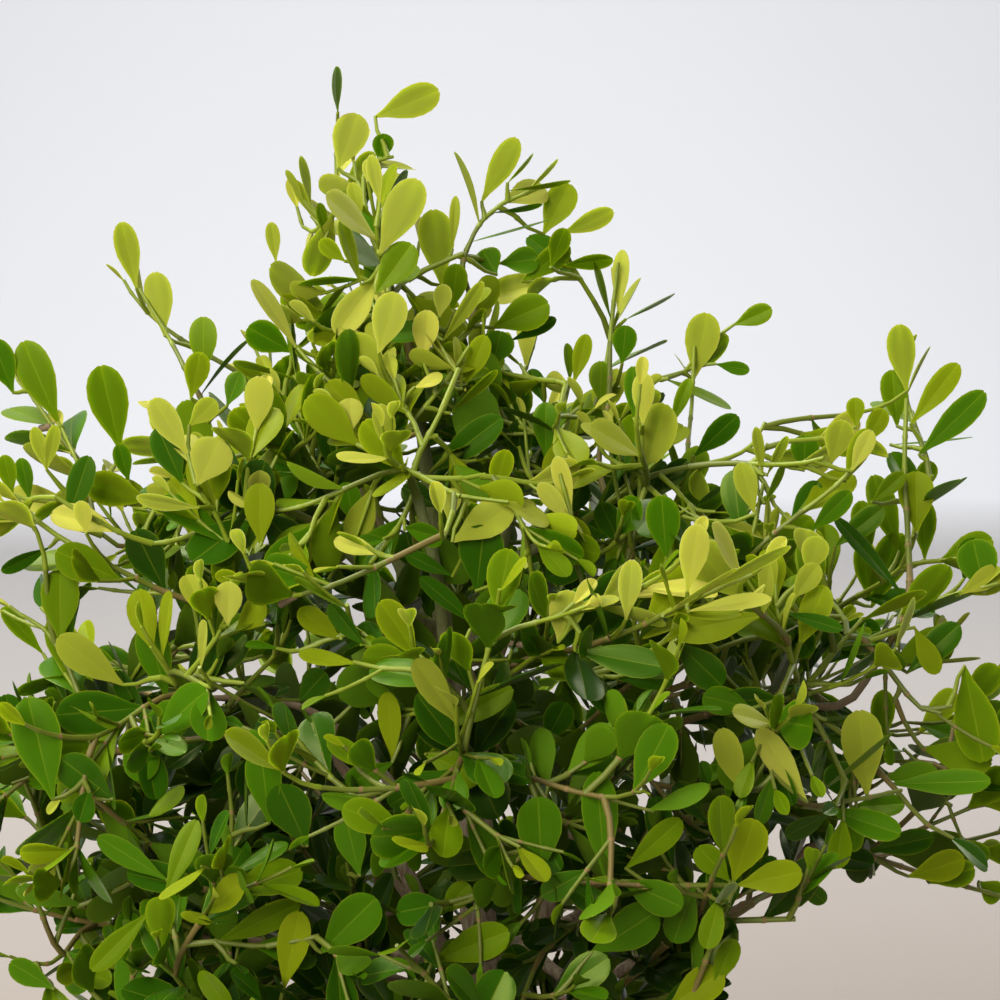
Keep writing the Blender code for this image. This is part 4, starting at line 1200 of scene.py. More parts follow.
    def _lay_shoots(self) -> list[Shoot]:
        """The leading shoots, then those spread over the outline by the golden angle."""
        leading = [self._shoot(*row) for row in LEADING_SHOOTS]
        rng = random.Random(self.seed)
        heights = np.linspace(self.bottom, self.top, self.samples)
        radii = self.radius(heights)
        area = np.cumsum(radii * np.sqrt(1.0 + np.gradient(radii, heights) ** 2))
        area = (area - area[0]) / (area[-1] - area[0])
        tips = np.array([shoot.tip for shoot in leading])
        spread = []
        for index in range(self.shoot_count):
            height = float(np.interp((index + 0.5) / self.shoot_count, area, heights))
            turn = index * GOLDEN_ANGLE + rng.uniform(-self.shoot_sway, self.shoot_sway)
            reach = float(self.radius(height)) - rng.uniform(0.0, self.shoot_depth)
            outward = level(turn)
            rise = (height - self.bottom) / (self.top - self.bottom)
            lift = rng.uniform(0.0, self.shoot_lift) + self.crown_lift * rise
            tip = self.axis(height) + outward * reach
            if self.in_gap(tip):
                continue
            if np.linalg.norm(tips - tip, axis=1).min() > self.shoot_spacing:
                spread.append(Shoot(tip, unit(outward + (0.0, 0.0, lift)), 0.0))
        return leading + spread

    def _shoot(self, tip: Place, azimuth: float, elevation: float, tone: float,
               run_on: float = 0.004) -> Shoot:
        """A shoot from its row in a table.

        Args:
            tip: Its tip in millimetres.
            azimuth: Its heading round from +X, in degrees.
            elevation: Its heading up from level, in degrees.
            tone: How much lighter it is than most.
            run_on: How far its new growth runs on.

        Returns:
            The shoot, in metres.
        """
        turn, lift = math.radians(azimuth), math.radians(elevation)
        heading = np.array((math.cos(turn) * math.cos(lift),
                            math.sin(turn) * math.cos(lift), math.sin(lift)))
        return Shoot(np.array(tip) / MM, heading, tone, run_on)

    def _lay_finer(self) -> list[Shoot]:
        """Finer shoots by the same golden angle, at every depth under the outline."""
        rng = random.Random(self.finer_seed)
        taken = [shoot.tip for shoot in self.shoots + self.new_growth]
        finer = []
        for index in range(self.finer_count):
            share = (index * self.finer_stride) % 1.0
            height = (self.bottom + self.finer_foot
                      + (self.top - self.bottom - self.finer_head) * share ** self.finer_low)
            turn = index * GOLDEN_ANGLE
            rise = (height - self.bottom) / (self.top - self.bottom)
            depth = self.finer_least + self.finer_depth * (
                self.finer_deepest - self.finer_thinning * rise) * rng.random()
            reach = float(self.radius(height)) - depth
            outward = level(turn)
            lift = rng.uniform(*self.finer_lift) + self.crown_lift * rise
            tip = self.axis(height) + outward * reach
            near = np.linalg.norm(np.array(taken) - tip, axis=1).min()
            if reach < self.finer_core or self.in_gap(tip) or near < self.finer_spacing:
                continue
            taken.append(tip)
            finer.append(Shoot(tip, unit(outward + (0.0, 0.0, lift)),
                               rng.gauss(*self.finer_tone), self.finer_run_on))
        return finer


WOOD_PAST_LEAF = 0.0012             # wood left on a twig past its last leaf
LEAST_STEP = 0.0002                 # points nearer than this are one

class Rank(Enum):
    """What a twig is: a mass's stem, a twig of the rule or a side shoot."""

    STEM = 0
    TWIG = 1
    SIDE = 2


@dataclass
class Twig:
    """A twig or side shoot: coarse points of the rule, and its finer curve."""

    path: Vec
    radii: Vec
    curve: Vec
    thick: Vec
    rank: Rank
    tone: float
    nodes: Vec = field(default_factory=lambda: np.zeros(0))
    phase: float = 0.0
    parent: "Twig | None" = None
    start: float = 0.0          # how far along its parent it leaves
    needed: float = 0.0         # how far along itself it carries leaves or other twigs

    def length(self) -> float:
        """Length of the finer curve."""
        return float(path_lengths(self.curve)[-1])

    def at(self, back: float) -> tuple[Vec, Vec]:
        """Point and heading at a distance back from the tip."""
        lengths = path_lengths(self.curve)
        place = max(0.0, lengths[-1] - back)
        index = int(np.clip(np.searchsorted(lengths, place) - 1, 0, len(lengths) - 2))
        run = self.curve[index + 1] - self.curve[index]
        share = (place - lengths[index]) / max(lengths[index + 1] - lengths[index], 1e-9)
        return self.curve[index] + run * share, unit(run)

    def beside(self, point: Vec) -> tuple[Vec, float]:
        """The curve's nearest place to a point, and the length along to about there."""
        foot = nearest_on_path(point[None], self.curve)[1][0]
        index = np.linalg.norm(self.curve - foot, axis=1).argmin()
        return foot, path_lengths(self.curve)[index]

    def cut_back(self) -> bool:
        """Cut the twig back to what it carries, and tell whether anything is left."""
        lengths = path_lengths(self.curve)
        length = min(self.needed + WOOD_PAST_LEAF, lengths[-1])
        if self.needed <= 0.0:
            return False
        if self.parent is not None:
            self.parent.needed = max(self.parent.needed, self.start)
        steps = np.append(lengths[lengths < length - LEAST_STEP], length)
        self.curve = resampled(self.curve, steps)
        self.thick = np.interp(steps, lengths, self.thick)
        self.nodes = self.nodes - (lengths[-1] - length)
        return True


@dataclass
class TwigGrower:
    """Grows the twigs of a mass from its root to its shoots, as the solids do."""

    rule: CrownRule
    space_margin: float = 0.0006
    limb_margin: float = 0.0012
    root_reach: float = 0.0035
    pot_margin: float = 0.003
    pot_top: float = 0.128
    pot_radius: float = 0.076
    stem_straight: float = 0.003
    stem_points: int = 4
    twig_points: int = 3
    curve_points: int = 14
    twig_tip_radius: float = 0.0011
    twig_least_radius: float = 0.0013
    twig_taper: float = 0.75
    easy_angle: float = math.radians(50.0)
    fork_places: tuple[float, ...] = (0.15, 0.25, 0.35, 0.45, 0.55, 0.65, 0.75)
    fine_fork_places: tuple[float, ...] = (0.15, 0.25, 0.35, 0.45, 0.55, 0.65, 0.75, 0.81,
                                           0.87, 0.93, 0.99)
    fork_follow: float = 0.5
    fork_bend_cost: float = 2.0
    fine_follow: float = 0.5    # share of its own heading that a finer twig arrives by
    slender: float = 0.72       # seen thickness at a twig's foot over the solid's
    fine_tip: float = 0.00045   # seen radius at a twig's tip
    fine_foot: float = 0.00085  # most seen radius at a finer twig's foot
    taper_power: float = 0.8
    stem_sunk: float = 0.002    # how far the seen stem starts inside its limb
    run_on_points: int = 5
    run_on_rise: float = 0.22   # how far new growth bends up over its length
    stalk_run_on: float = 0.0002

    def clear(self, points: Vec, root: Vec) -> bool:
        """Whether points are clear of the pot and of the limbs.

        Args:
            points: Places, with shape (n, 3).
            root: The mass's root, near which wood may touch its limb.

        Returns:
            True where all are clear.
        """
        reach = np.hypot(points[:, 0], points[:, 1])
        if ((points[:, 2] < self.pot_top + self.pot_margin)
                & (reach < self.pot_radius + self.pot_margin)).any():
            return False
        away = points[np.linalg.norm(points - root, axis=1) >= self.root_reach]
        if not len(away):
            return True
        return all(nearest_on_path(away, form.path)[0].min()
                   >= form.radii.max() + self.limb_margin
                   for form in self.rule.forms.values())

    def allowed(self, path: Vec, name: str) -> bool:
        """Whether a path keeps to its mass's space, off the limbs and the pot."""
        return bool(self.rule.inside(path[1:], name, self.space_margin).all()
                    and self.clear(path, self.rule.masses[name].root))

    def best_fork(self, tip: Vec, twigs: list[Twig],
                  places: tuple[float, ...]) -> tuple[Vec, Vec, float, Twig]:
        """The wood that a twig to a tip had best leave.

        It is the nearest, where wood left at a wide angle counts as farther away.

        Args:
            tip: Where the twig ends.
            twigs: The wood grown so far.
            places: How far along each twig there may be a fork.

        Returns:
            Point, heading and radius there, and the twig that it is on.
        """
        best, best_cost = None, math.inf
        for twig in twigs:
            for fraction in places:
                point, along = point_along(twig.path, fraction)
                run = tip - point
                length = float(np.linalg.norm(run))
                bend = math.acos(float(np.clip(along.dot(run) / length, -1.0, 1.0)))
                wide = max(0.0, bend - self.easy_angle)
                cost = length * (1.0 + self.fork_bend_cost * wide ** 2)
                if cost < best_cost:
                    place = fraction * (len(twig.radii) - 1)
                    radius = float(np.interp(place, range(len(twig.radii)), twig.radii))
                    best, best_cost = (point, along, radius, twig), cost
        return best

    def grow(self, name: str) -> list[Twig]:
        """The stem of a mass and the twigs that leave it.

        Args:
            name: The mass.

        Returns:
            Its twigs, the stem first.
        """
        mass = self.rule.masses[name]
        carrier = next(limb for limb, row in LIMBS.items() if row.mass == name)
        limb_path = self.rule.forms[carrier].path
        heading = unit(limb_path[-1] - limb_path[-2])
        start = mass.root + heading * self.rule.clearance
        outward = unit(mass.middle - mass.root)
        own = self._own(name, self.rule.shoots)
        chief = max(own, key=lambda shoot: unit(shoot.tip - mass.root).dot(outward))
        bend = start + heading * self.stem_straight
        arrive = chief.heading
        path = self._stem(start, heading, bend, chief.tip, arrive, self.stem_points)
        if not self.allowed(path, name):
            arrive = unit(chief.tip - start)
            path = self._stem(start, heading, bend, chief.tip, arrive, self.stem_points)
        curve = self._carried(self._stem(start - heading * self.stem_sunk, heading, bend,
                                         chief.tip, arrive, self.curve_points), chief.run_on)
        radii = np.linspace(self.rule.limb_tip_radius, self.twig_tip_radius, len(path))
        twigs = [Twig(path, radii, curve, self._seen(self.rule.limb_tip_radius, curve),
                      Rank.STEM, chief.tone)]
        rest = [shoot for shoot in own if shoot is not chief]
        for shoots, fine in ((rest, False), (self._own(name, self.rule.new_growth), True),
                             (self._own(name, self.rule.finer), True)):
            for shoot in sorted(shoots, key=lambda row: np.linalg.norm(row.tip - mass.root)):
                twig = self._reach(shoot, twigs, name, fine, self.fork_places)
                if twig is not None:
                    twigs.append(twig)
        return twigs

    def lead(self, name: str, twigs: list[Twig]) -> Iterator[Twig]:
        """The leading twigs that start in a mass's space, from its nearest wood.

        Args:
            name: The mass.
            twigs: The wood grown so far.

        Yields:
            Each twig, on a cubic through its knots.
        """
        for row in self.rule.leading_twigs:
            if not self._own(name, [Shoot(row.knots[0], row.knots[1], 0.0)]):
                continue
            point, _, _, parent = self.best_fork(row.knots[0], twigs, self.fine_fork_places)
            foot, start = parent.beside(point)
            knots = np.vstack((foot, row.knots))
            length = path_lengths(knots)[-1]
            curve = resampled(knots, np.linspace(0.0, length, 2 * self.curve_points), True)
            thick = np.linspace(row.foot, row.tip, len(curve))
            yield Twig(curve, thick, curve, thick, Rank.TWIG, 0.0, parent=parent,
                       start=start, needed=length)

    def hang(self, name: str, twigs: list[Twig]) -> Iterator[tuple[LeadingLeaf, Twig]]:
        """The leading leaves of a mass that a fine twig reaches, each with its twig.

        Args:
            name: The mass.
            twigs: The wood grown so far.

        Yields:
            Each leaf and its twig, which needs all its length.
        """
        for leaf in self.rule.leading:
            shoot = Shoot(leaf.root, leaf.heading, 0.0, self.stalk_run_on)
            if not self._own(name, [shoot]):
                continue
            stalk = self._reach(shoot, twigs, name, True, self.fine_fork_places)
            if stalk is not None:
                stalk.needed = stalk.length()
                yield leaf, stalk

    def _own(self, name: str, shoots: list[Shoot]) -> list[Shoot]:
        """The shoots whose tips lie in a mass's space."""
        masses = self.rule.masses

        def nearest(tip: Vec) -> str:
            """The mass whose middle is nearest to a tip."""
            return min(masses, key=lambda key: np.linalg.norm(masses[key].middle - tip))

        return [shoot for shoot in shoots if nearest(shoot.tip) == name
                and self.rule.inside(shoot.tip[None], name, self.space_margin)[0]]

    def _reach(self, shoot: Shoot, twigs: list[Twig], name: str, fine: bool,
               places: tuple[float, ...]) -> Twig | None:
        """A twig to a shoot from the best fork.

        It arrives at the shoot's own heading, or straight where that doesn't fit.

        Args:
            shoot: Where the twig ends.
            twigs: The wood grown so far.
            name: The mass.
            fine: Whether it is finer than the solids' twigs, straighter and thinner.
            places: How far along each twig there may be a fork.

        Returns:
            The twig, or None where it doesn't fit either way.
        """
        point, along, radius, parent = self.best_fork(shoot.tip, twigs, places)
        straight = unit(shoot.tip - point)
        leave = unit(straight + along * self.fork_follow)
        own = unit(shoot.heading * self.fine_follow + straight) if fine else shoot.heading
        for arrive in (own, straight):
            path = curved_path(point, leave, shoot.tip, arrive, self.twig_points)
            if self.allowed(path, name):
                foot, start = parent.beside(point)
                curve = self._carried(curved_path(foot, leave, shoot.tip, arrive,
                                                  self.curve_points), shoot.run_on)
                thick = max(self.twig_least_radius, radius * self.twig_taper)
                radii = np.linspace(thick, self.twig_tip_radius, self.twig_points)
                most = self.fine_foot if fine else math.inf
                return Twig(path, radii, curve,
                            self._seen(min(thick * self.slender, most), curve),
                            Rank.TWIG, shoot.tone, parent=parent, start=start)
        return None

    def _stem(self, start: Vec, heading: Vec, bend: Vec, tip: Vec, arrive: Vec,
              count: int) -> Vec:
        """Path of a stem: straight out of the limb's end, then curved to its tip."""
        return np.vstack((start[None], curved_path(bend, heading, tip, arrive, count)))

    def _carried(self, curve: Vec, run_on: float) -> Vec:
        """A curve with the new growth that runs on past its end, bent up a little."""
        heading = unit(curve[-1] - curve[-2])
        steps = np.linspace(0.0, 1.0, self.run_on_points)[1:, None]
        rise = np.array((0.0, 0.0, self.run_on_rise)) * steps ** 2
        return np.vstack((curve, curve[-1] + (heading * steps + rise) * run_on))

    def _seen(self, foot: float, curve: Vec) -> Vec:
        """Radii along a finer curve, falling from its foot to the fine tip."""
        lengths = path_lengths(curve)
        return foot + (self.fine_tip - foot) * (lengths / lengths[-1]) ** self.taper_power


# ---- side shoots and leaves -----------------------------------------------------------
@dataclass
class LeafRows:
    """The leaves of a mass, one row each, to be laid out as arrays."""

    base: list[Vec] = field(default_factory=list)
    along: list[Vec] = field(default_factory=list)
    upper: list[Vec] = field(default_factory=list)
    length: list[float] = field(default_factory=list)
    # The leaf tints, from painted shade deep in the crown to its newest growth; the darkest
    # mix the older leaves' own deep green with painted shade.
    width: list[float] = field(default_factory=list)
    bend: list[float] = field(default_factory=list)
    fold: list[float] = field(default_factory=list)
    twist: list[float] = field(default_factory=list)
    youth: list[float] = field(default_factory=list)
    tone: list[float] = field(default_factory=list)
    tint: list[int] = field(default_factory=list)
    twig: list[int] = field(default_factory=list)
    place: list[float] = field(default_factory=list)

    def add(self, base: Vec, along: Vec, upper: Vec, **sizes: float) -> None:
        """Add a leaf: its root, the way that it points, its upper side and its sizes."""
        self.base.append(base)
        self.along.append(along)
        self.upper.append(upper)
        for name, value in sizes.items():
            getattr(self, name).append(value)

    def arrays(self) -> dict[str, Vec]:
        """Each column as an array."""
        return {name: np.array(column) for name, column in vars(self).items()}


@dataclass(frozen=True)
class LeafShape:
    """The blade of a boxwood leaf, on a grid of u across and v along.

    Half the width at v is the width's half times a profile. It rises from a narrow foot
    by a power of a sine to its widest place. Past that it falls as the root of one less a
    power of the share gone to its end. The tip is cut back a little at the midrib. Each
    half of the blade is crowned, the halves fold up from the midrib, and the whole blade
    bends along a circle.
    """

    across: tuple[float, ...] = (-1.0, -0.94, -0.48, -0.04, 0.04, 0.48, 0.94, 1.0)
    along: tuple[float, ...] = (0.0, 0.15, 0.33, 0.50, 0.66, 0.79, 0.89, 0.96, 1.0)
    widest: float = 0.63
    foot: float = 0.075
    rounding: float = 1.50
    end: float = 1.01
    closing: float = 2.3
    notch: float = 0.020
    round_end: float = 0.022
    tip_power: int = 6          # how near the tip those two act
    crown: float = 0.040
    groove: float = 0.00016
    groove_half: float = 0.2    # across, as a share of half the width
    thickness: float = 0.00030
    belly_start: float = 0.12   # shares of a sine's half turn
    belly_span: float = 0.80
    least_bend: float = 1e-3

    def profile(self, v: Vec) -> Vec:
        """Half width at v over the greatest half width."""
        rising = self.foot + (1.0 - self.foot) * np.sin(
            0.5 * math.pi * np.minimum(v / self.widest, 1.0)) ** self.rounding
        past = np.clip((v - self.widest) / (self.end - self.widest), 0.0, 1.0)
        return rising * (1.0 - past ** self.closing) ** 0.5

    def surface(self, leaves: dict[str, Vec]) -> tuple[Vec, Vec]:
        """Upper side and the underside's middle line of every leaf, in its own frame.

        Args:
            leaves: Columns of LeafRows as arrays.

        Returns:
            Upper points (leaves, rows, columns, 3) and middle line (leaves, rows, 3).
        """
        u = np.array(self.across)[None, None, :]
        v = np.array(self.along)[None, :, None]
        length, width = leaves["length"][:, None, None], leaves["width"][:, None, None]
        half = 0.5 * width * self.profile(v)
        tip = v ** self.tip_power
        reach = v - tip * (self.notch * (1.0 - np.abs(u)) ** 2 + self.round_end * u ** 4)
        rise = leaves["fold"][:, None, None] * np.abs(u) * half
        rise = rise + self.crown * half * (1.0 - (2.0 * np.abs(u) - 1.0) ** 2)
        groove = self.groove * (np.abs(u) < self.groove_half)
        rise = rise - groove * np.sin(math.pi * v) ** 0.5
        sway = leaves["twist"][:, None, None] * v
        side = u * half * np.cos(sway) - rise * np.sin(sway)
        rise = u * half * np.sin(sway) + rise * np.cos(sway)
        bend = leaves["bend"][:, None, None]
        bend = np.where(np.abs(bend) < self.least_bend, self.least_bend, bend)
        turn = bend * reach
        forward = length / bend * np.sin(turn) + rise * np.sin(turn)
        height = -length / bend * (1.0 - np.cos(turn)) + rise * np.cos(turn)
        upper = np.stack((np.broadcast_to(side, height.shape), forward, height), axis=-1)
        middle = (upper[:, :, 3] + upper[:, :, 4]) / 2.0
        down = np.stack((np.zeros_like(turn[:, :, 3]), -np.sin(turn[:, :, 3]),
                         -np.cos(turn[:, :, 3])), axis=-1)
        share = self.belly_start + self.belly_span * v[..., 0]
        return upper, middle + down * (self.thickness * np.sin(math.pi * share))[..., None]

    def add(self, batch: MeshBatch, leaves: dict[str, Vec], tints: Ints) -> None:
        """Lay the leaves in a batch as closed thin blades.

        Args:
            batch: Where they go.
            leaves: Columns of LeafRows as arrays.
            tints: Tint of each leaf; its three slots follow on from three times this.
        """
        upper, middle = self.surface(leaves)
        forward = unit(leaves["along"])
        side = unit(np.cross(forward, leaves["upper"]))
        axes = np.stack((side, forward, np.cross(side, forward)), axis=1)
        points = np.concatenate((upper.reshape(len(upper), -1, 3), middle), axis=1)
        points = points @ axes + leaves["base"][:, None, :]
        offset = batch.add_points(points)
        count, size = points.shape[:2]
        rows, columns = len(self.along), len(self.across)
        starts = offset + np.arange(count)[:, None, None] * size
        top = grid_faces(rows, columns, False)
        strip = np.tile(np.arange(columns - 1), rows - 1)
        is_line = (strip == 0) | (strip == columns - 2) | (strip == (columns - 1) // 2)
        low, belly = np.arange(rows - 1), rows * columns + np.arange(rows - 1)
        left = np.stack((low * columns, (low + 1) * columns, belly + 1, belly), -1)
        right = np.stack((belly, belly + 1, (low + 2) * columns - 1,
                          (low + 1) * columns - 1), -1)
        foot = np.concatenate(([rows * columns], np.arange(columns)[::-1]))[None]
        tip = np.concatenate(([rows * columns + rows - 1],
                              (rows - 1) * columns + np.arange(columns)))[None]
        slot = tints[:, None] * 3
        for faces, kind in ((top, np.where(is_line, 2, 0)), (left, np.ones(rows - 1)),
                            (right, np.ones(rows - 1)), (foot, np.ones(1)),
                            (tip, np.ones(1) * 2)):
            batch.add_faces((starts + faces[None]).reshape(-1, faces.shape[1]),
                            (slot + kind[None].astype(int)).reshape(-1))


@dataclass(frozen=True)
class Brightness:
    """How light a leaf's colour is, from 0 to 1.

    It rises with youth, more so high up, and falls with the depth inside the outline; that
    fall is painted shade, the crown's inner shade put into the leaf's colour.
    """

    base: float = 0.26
    youth: float = 0.24
    high_youth: float = 0.38    # what youth adds besides, high up
    high: float = 0.05
    # painted shade: how far the colour falls deep inside the outline
    shade: float = 0.56
    spread: float = 0.05
    rise_start: float = 0.190
    rise_span: float = 0.140
    shade_start: float = 0.004
    shade_span: float = 0.052

    def of(self, leaves: dict[str, Vec], depth: Vec) -> Vec:
        """Brightness of each leaf.

        Args:
            leaves: Columns of LeafRows as arrays.
            depth: How far each lies inside the crown's outline.

        Returns:
            The brightness, which may run a little past 0 and 1.
        """
        places = leaves["base"]
        rise = np.clip((places[:, 2] - self.rise_start) / self.rise_span, 0.0, 1.0)
        rise = rise * rise * (3.0 - 2.0 * rise)
        # painted shade: leaves deeper inside the outline get a darker colour
        shade = np.clip((depth - self.shade_start) / self.shade_span, 0.0, 1.0)
        noise = np.random.default_rng(len(places)).normal(0.0, self.spread, len(places))
        return (self.base + leaves["youth"] * (self.youth + self.high_youth * rise)
                + self.high * rise - self.shade * shade + leaves["tone"] + noise)

@dataclass(frozen=True)
class TwigTubes:
    """The twigs' tubes, swollen at their nodes, green at the tip and tan at the foot."""

    spacing: float = 0.005      # between rings
    least_rings: int = 4
    first_node: float = 0.003   # a node nearer to the tip than this doesn't show
    swell: float = 0.30         # of the radius at a node
    swell_reach: float = 0.0007
    swell_ring: float = 0.0008  # from a node to the rings beside it
    sides: int = 7
    side_shoot_sides: int = 5
    ages: Place = (0.022, 0.046, 0.075)     # where young, green and ripe wood end
    low: float = 0.24           # a twig whose tip is lower is older
    low_age: float = 0.024
    scar_reach: float = 0.0001
    scar_age: float = 0.030

    def add(self, batch: MeshBatch, twig: Twig) -> None:
        """Add a twig's tube.

        Args:
            batch: Where it goes.
            twig: The twig, cut back.
        """
        lengths = path_lengths(twig.curve)
        total = lengths[-1]
        steps = np.linspace(0.0, total, max(self.least_rings, int(total / self.spacing)))
        knots = total - twig.nodes[(twig.nodes < total) & (twig.nodes > self.first_node)]
        steps = np.unique(np.concatenate((steps, knots, knots - self.swell_ring,
                                          knots + self.swell_ring)))
        steps = steps[(steps >= 0.0) & (steps <= total)]
        steps = steps[np.concatenate(([True], np.diff(steps) > LEAST_STEP))]
        path = resampled(twig.curve, steps)
        near = np.abs(steps[:, None] - knots[None]).min(axis=1, initial=1.0)
        radii = np.interp(steps, lengths, twig.thick)
        radii = radii * (1.0 + self.swell * np.exp(-(near / self.swell_reach) ** 2))
        back = total - steps
        ages = (back[:-1] + back[1:]) / 2.0 + (0.0 if path[-1, 2] > self.low
                                               else self.low_age)
        wood = list(Wood)
        kinds = np.select([ages < most for most in self.ages],
                          [wood.index(kind) for kind in (Wood.YOUNG, Wood.GREEN, Wood.RIPE)],
                          wood.index(Wood.OLD))
        scars = (near[:-1] < self.scar_reach) & (ages > self.scar_age)
        kinds = np.where(scars, wood.index(Wood.SCAR), kinds)
        sides = self.side_shoot_sides if twig.rank is Rank.SIDE else self.sides
        add_tube(batch, path, radii, sides, kinds)

@dataclass
class FoliageMass:
    """One mass of foliage, carried from its twigs to side shoots and pairs of leaves."""

    name: str
    rule: CrownRule
    grower: TwigGrower
    shape: LeafShape
    pitch: tuple[float, float] = (0.0085, 0.0125)
    tip_steps: tuple[float, ...] = (0.0006, 0.0036, 0.0066)
    side_chance: float = 0.50
    side_length: tuple[float, float] = (0.011, 0.029)
    side_space: float = -0.004
    leaf_space: float = -0.006
    leaf_spacing: float = 0.0044
    stub_chance: float = 0.07
    stalk_bare: float = 0.008   # a leading leaf's twig carries no other leaf so near it
    twig_leaf_lengths: tuple[float, ...] = (0.0085, 0.0138, 0.0175, 0.0200, 0.0214, 0.0214)
    side_leaf_lengths: tuple[float, ...] = (0.0070, 0.0113, 0.0147, 0.0168, 0.0180, 0.0182)
    openings: tuple[float, ...] = (12.0, 22.0, 32.0, 40.0, 46.0, 52.0)
    youths: tuple[float, ...] = (1.0, 0.95, 0.82, 0.60, 0.38, 0.22)
    slims: tuple[float, ...] = (0.44, 0.47, 0.50, 0.53)     # width over length, by pair
    brightness: Brightness = Brightness()
    tubes: TwigTubes = TwigTubes()
    twig_bare: float = 0.24     # share of a twig, at its foot, that has no leaves
    side_bare: float = 0.10
    side_pitch: float = 0.80    # pitch of a side shoot's pairs over a twig's
    upright: float = 0.2        # sine to straight up under which a twig is upright
    pair_sway: float = 0.2
    side_first: int = 2         # first pair with side shoots, from 0 at the tip
    side_short: float = 0.010   # longest side shoot at a twig's tip
    side_gain: float = 0.55     # what each metre back from there adds
    side_openings: tuple[float, float] = (28.0, 46.0)
    side_follow: float = 0.20
    side_lift: float = 0.16
    side_points: int = 7
    side_outside: float = 0.004     # how far past the outline a side shoot may end
    side_foot: float = 0.00075
    side_tip: float = 0.00045
    side_taper: float = 0.8
    spray: float = 0.07         # spread of tone between twigs
    bud_reach: float = 0.005    # a first pair farther back has lost the bud's pairs
    bud_pairs: int = 2
    whole_pairs: int = 3        # no leaf is missing from pairs up to this one
    loss_chance: float = 0.12
    opening_factors: tuple[float, float] = (0.75, 1.25)
    leaf_sway: float = 0.3
    leaf_lights: tuple[float, float] = (0.25, 0.75)     # pull of the upper side upwards
    length_factors: tuple[float, float] = (0.86, 1.14)
    width_factors: tuple[float, float] = (0.92, 1.08)
    leaf_sunk: float = 0.0003
    leaf_bends: tuple[float, float] = (-6.0, 17.0)      # in degrees
    leaf_folds: tuple[float, float] = (0.03, 0.22)
    bud_fold: float = 0.30
    leaf_twist: float = 0.12
    leading_bends: tuple[float, float] = (-6.0, 14.0)
    leading_folds: tuple[float, float] = (0.02, 0.12)
    leading_twist: float = 0.06
    blade_middle: float = 0.62  # share of the length from the root to the blade's middle
    limb_clear: float = 0.001
    stub_nodes: int = 4         # a twig with a stub has more nodes than this
    stub_first: int = 3
    stub_lean: float = 0.6
    stub_lengths: tuple[float, float] = (0.0035, 0.0065)
    stub_radii: tuple[float, ...] = (0.0012, 0.0011, 0.0010, 0.0010)

    def __post_init__(self) -> None:
        """Seed the mass by its name."""
        self.rng = random.Random(f"leaves of {self.name}")

    def build(self, leaf_slots: list[Material],
              wood_slots: list[Material]) -> Iterator[Piece]:
        """Grow the mass and make its two pieces.

        Args:
            leaf_slots: Materials of the leaves, three to a tint.
            wood_slots: Materials of the twigs.

        Yields:
            The leaf piece, then the twig piece.
        """
        twigs = self.grower.grow(self.name)
        twigs += list(self.grower.lead(self.name, twigs))
        leaves = LeafRows()
        stalks = []
        for leaf, stalk in self.grower.hang(self.name, twigs):
            self._hang_leaf(leaf, leaves)
            stalks.append(stalk)
        for twig in twigs:
            self._lay_nodes(twig)
        twigs += [side for twig in twigs for side in self._side_shoots(twig)]
        for stalk in stalks:
            self._lay_nodes(stalk)
            stalk.nodes = stalk.nodes[stalk.nodes > self.stalk_bare]
        twigs += stalks
        for index, twig in enumerate(twigs):
            self._lay_leaves(twig, index, leaves)
        kept = self._kept(leaves.arrays())
        for index, twig in enumerate(twigs):
            carried = kept["place"][kept["twig"] == index]
            twig.needed = max(twig.needed, float(carried.max(initial=0.0)))
        twigs = [twig for twig in reversed(twigs) if twig.cut_back()]
        batch = MeshBatch()
        self.shape.add(batch, kept, self._tints(kept))
        node = f"foliage_{self.name}"
        yield self._dress(batch.piece(f"leaves_{self.name}", leaf_slots), node)
        LOG.info("%s: %d twigs, %d leaves, %d triangles", node, len(twigs),
                 len(kept["length"]), batch.face_count())
        batch = MeshBatch()
        for twig in twigs:
            self.tubes.add(batch, twig)
            if (twig.rank is not Rank.SIDE and len(twig.nodes) > self.stub_nodes
                    and self.rng.random() < self.stub_chance):
                self._add_stub(batch, twig)
        yield self._dress(batch.piece(f"twigs_{self.name}", wood_slots), node)

    def _dress(self, piece: Piece, node: str) -> Piece:
        """Tie a piece to the plant in place of the mass's solid."""
        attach(piece, "root")
        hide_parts(node)
        return piece

    def _hang_leaf(self, leaf: LeadingLeaf, leaves: LeafRows) -> None:
        """Lay a leading leaf."""
        leaves.add(leaf.root, leaf.heading, leaf.upper, length=leaf.length,
                   width=leaf.width,
                   bend=math.radians(self.rng.uniform(*self.leading_bends)),
                   fold=self.rng.uniform(*self.leading_folds),
                   twist=self.rng.gauss(0.0, self.leading_twist), youth=0.5, tone=0.0,
                   tint=leaf.tint, twig=-1, place=0.0)

    def _lay_nodes(self, twig: Twig) -> None:
        """Places of a twig's nodes, back from its tip, and the turn of the first pair."""
        steps = list(np.cumsum(self.tip_steps))
        bare, closer = ((self.side_bare, self.side_pitch) if twig.rank is Rank.SIDE
                        else (self.twig_bare, 1.0))
        while steps[-1] < twig.length() * (1.0 - bare):
            steps.append(steps[-1] + self.rng.uniform(*self.pitch) * closer)
        twig.nodes = np.array(steps[:-1] if len(steps) > 2 else steps)
        twig.phase = self.rng.uniform(0.0, math.pi)

    def _pair(self, twig: Twig, tier: int) -> tuple[Vec, Vec, Vec]:
        """Point, heading and cross direction of a pair, each a quarter turn from the last."""
        point, along = twig.at(float(twig.nodes[tier]))
        sway = self.rng.uniform(-self.pair_sway, self.pair_sway)
        turn = twig.phase + tier * math.pi / 2.0 + sway
        return point, along, turned(crossing(along, self.upright), along, np.array(turn))

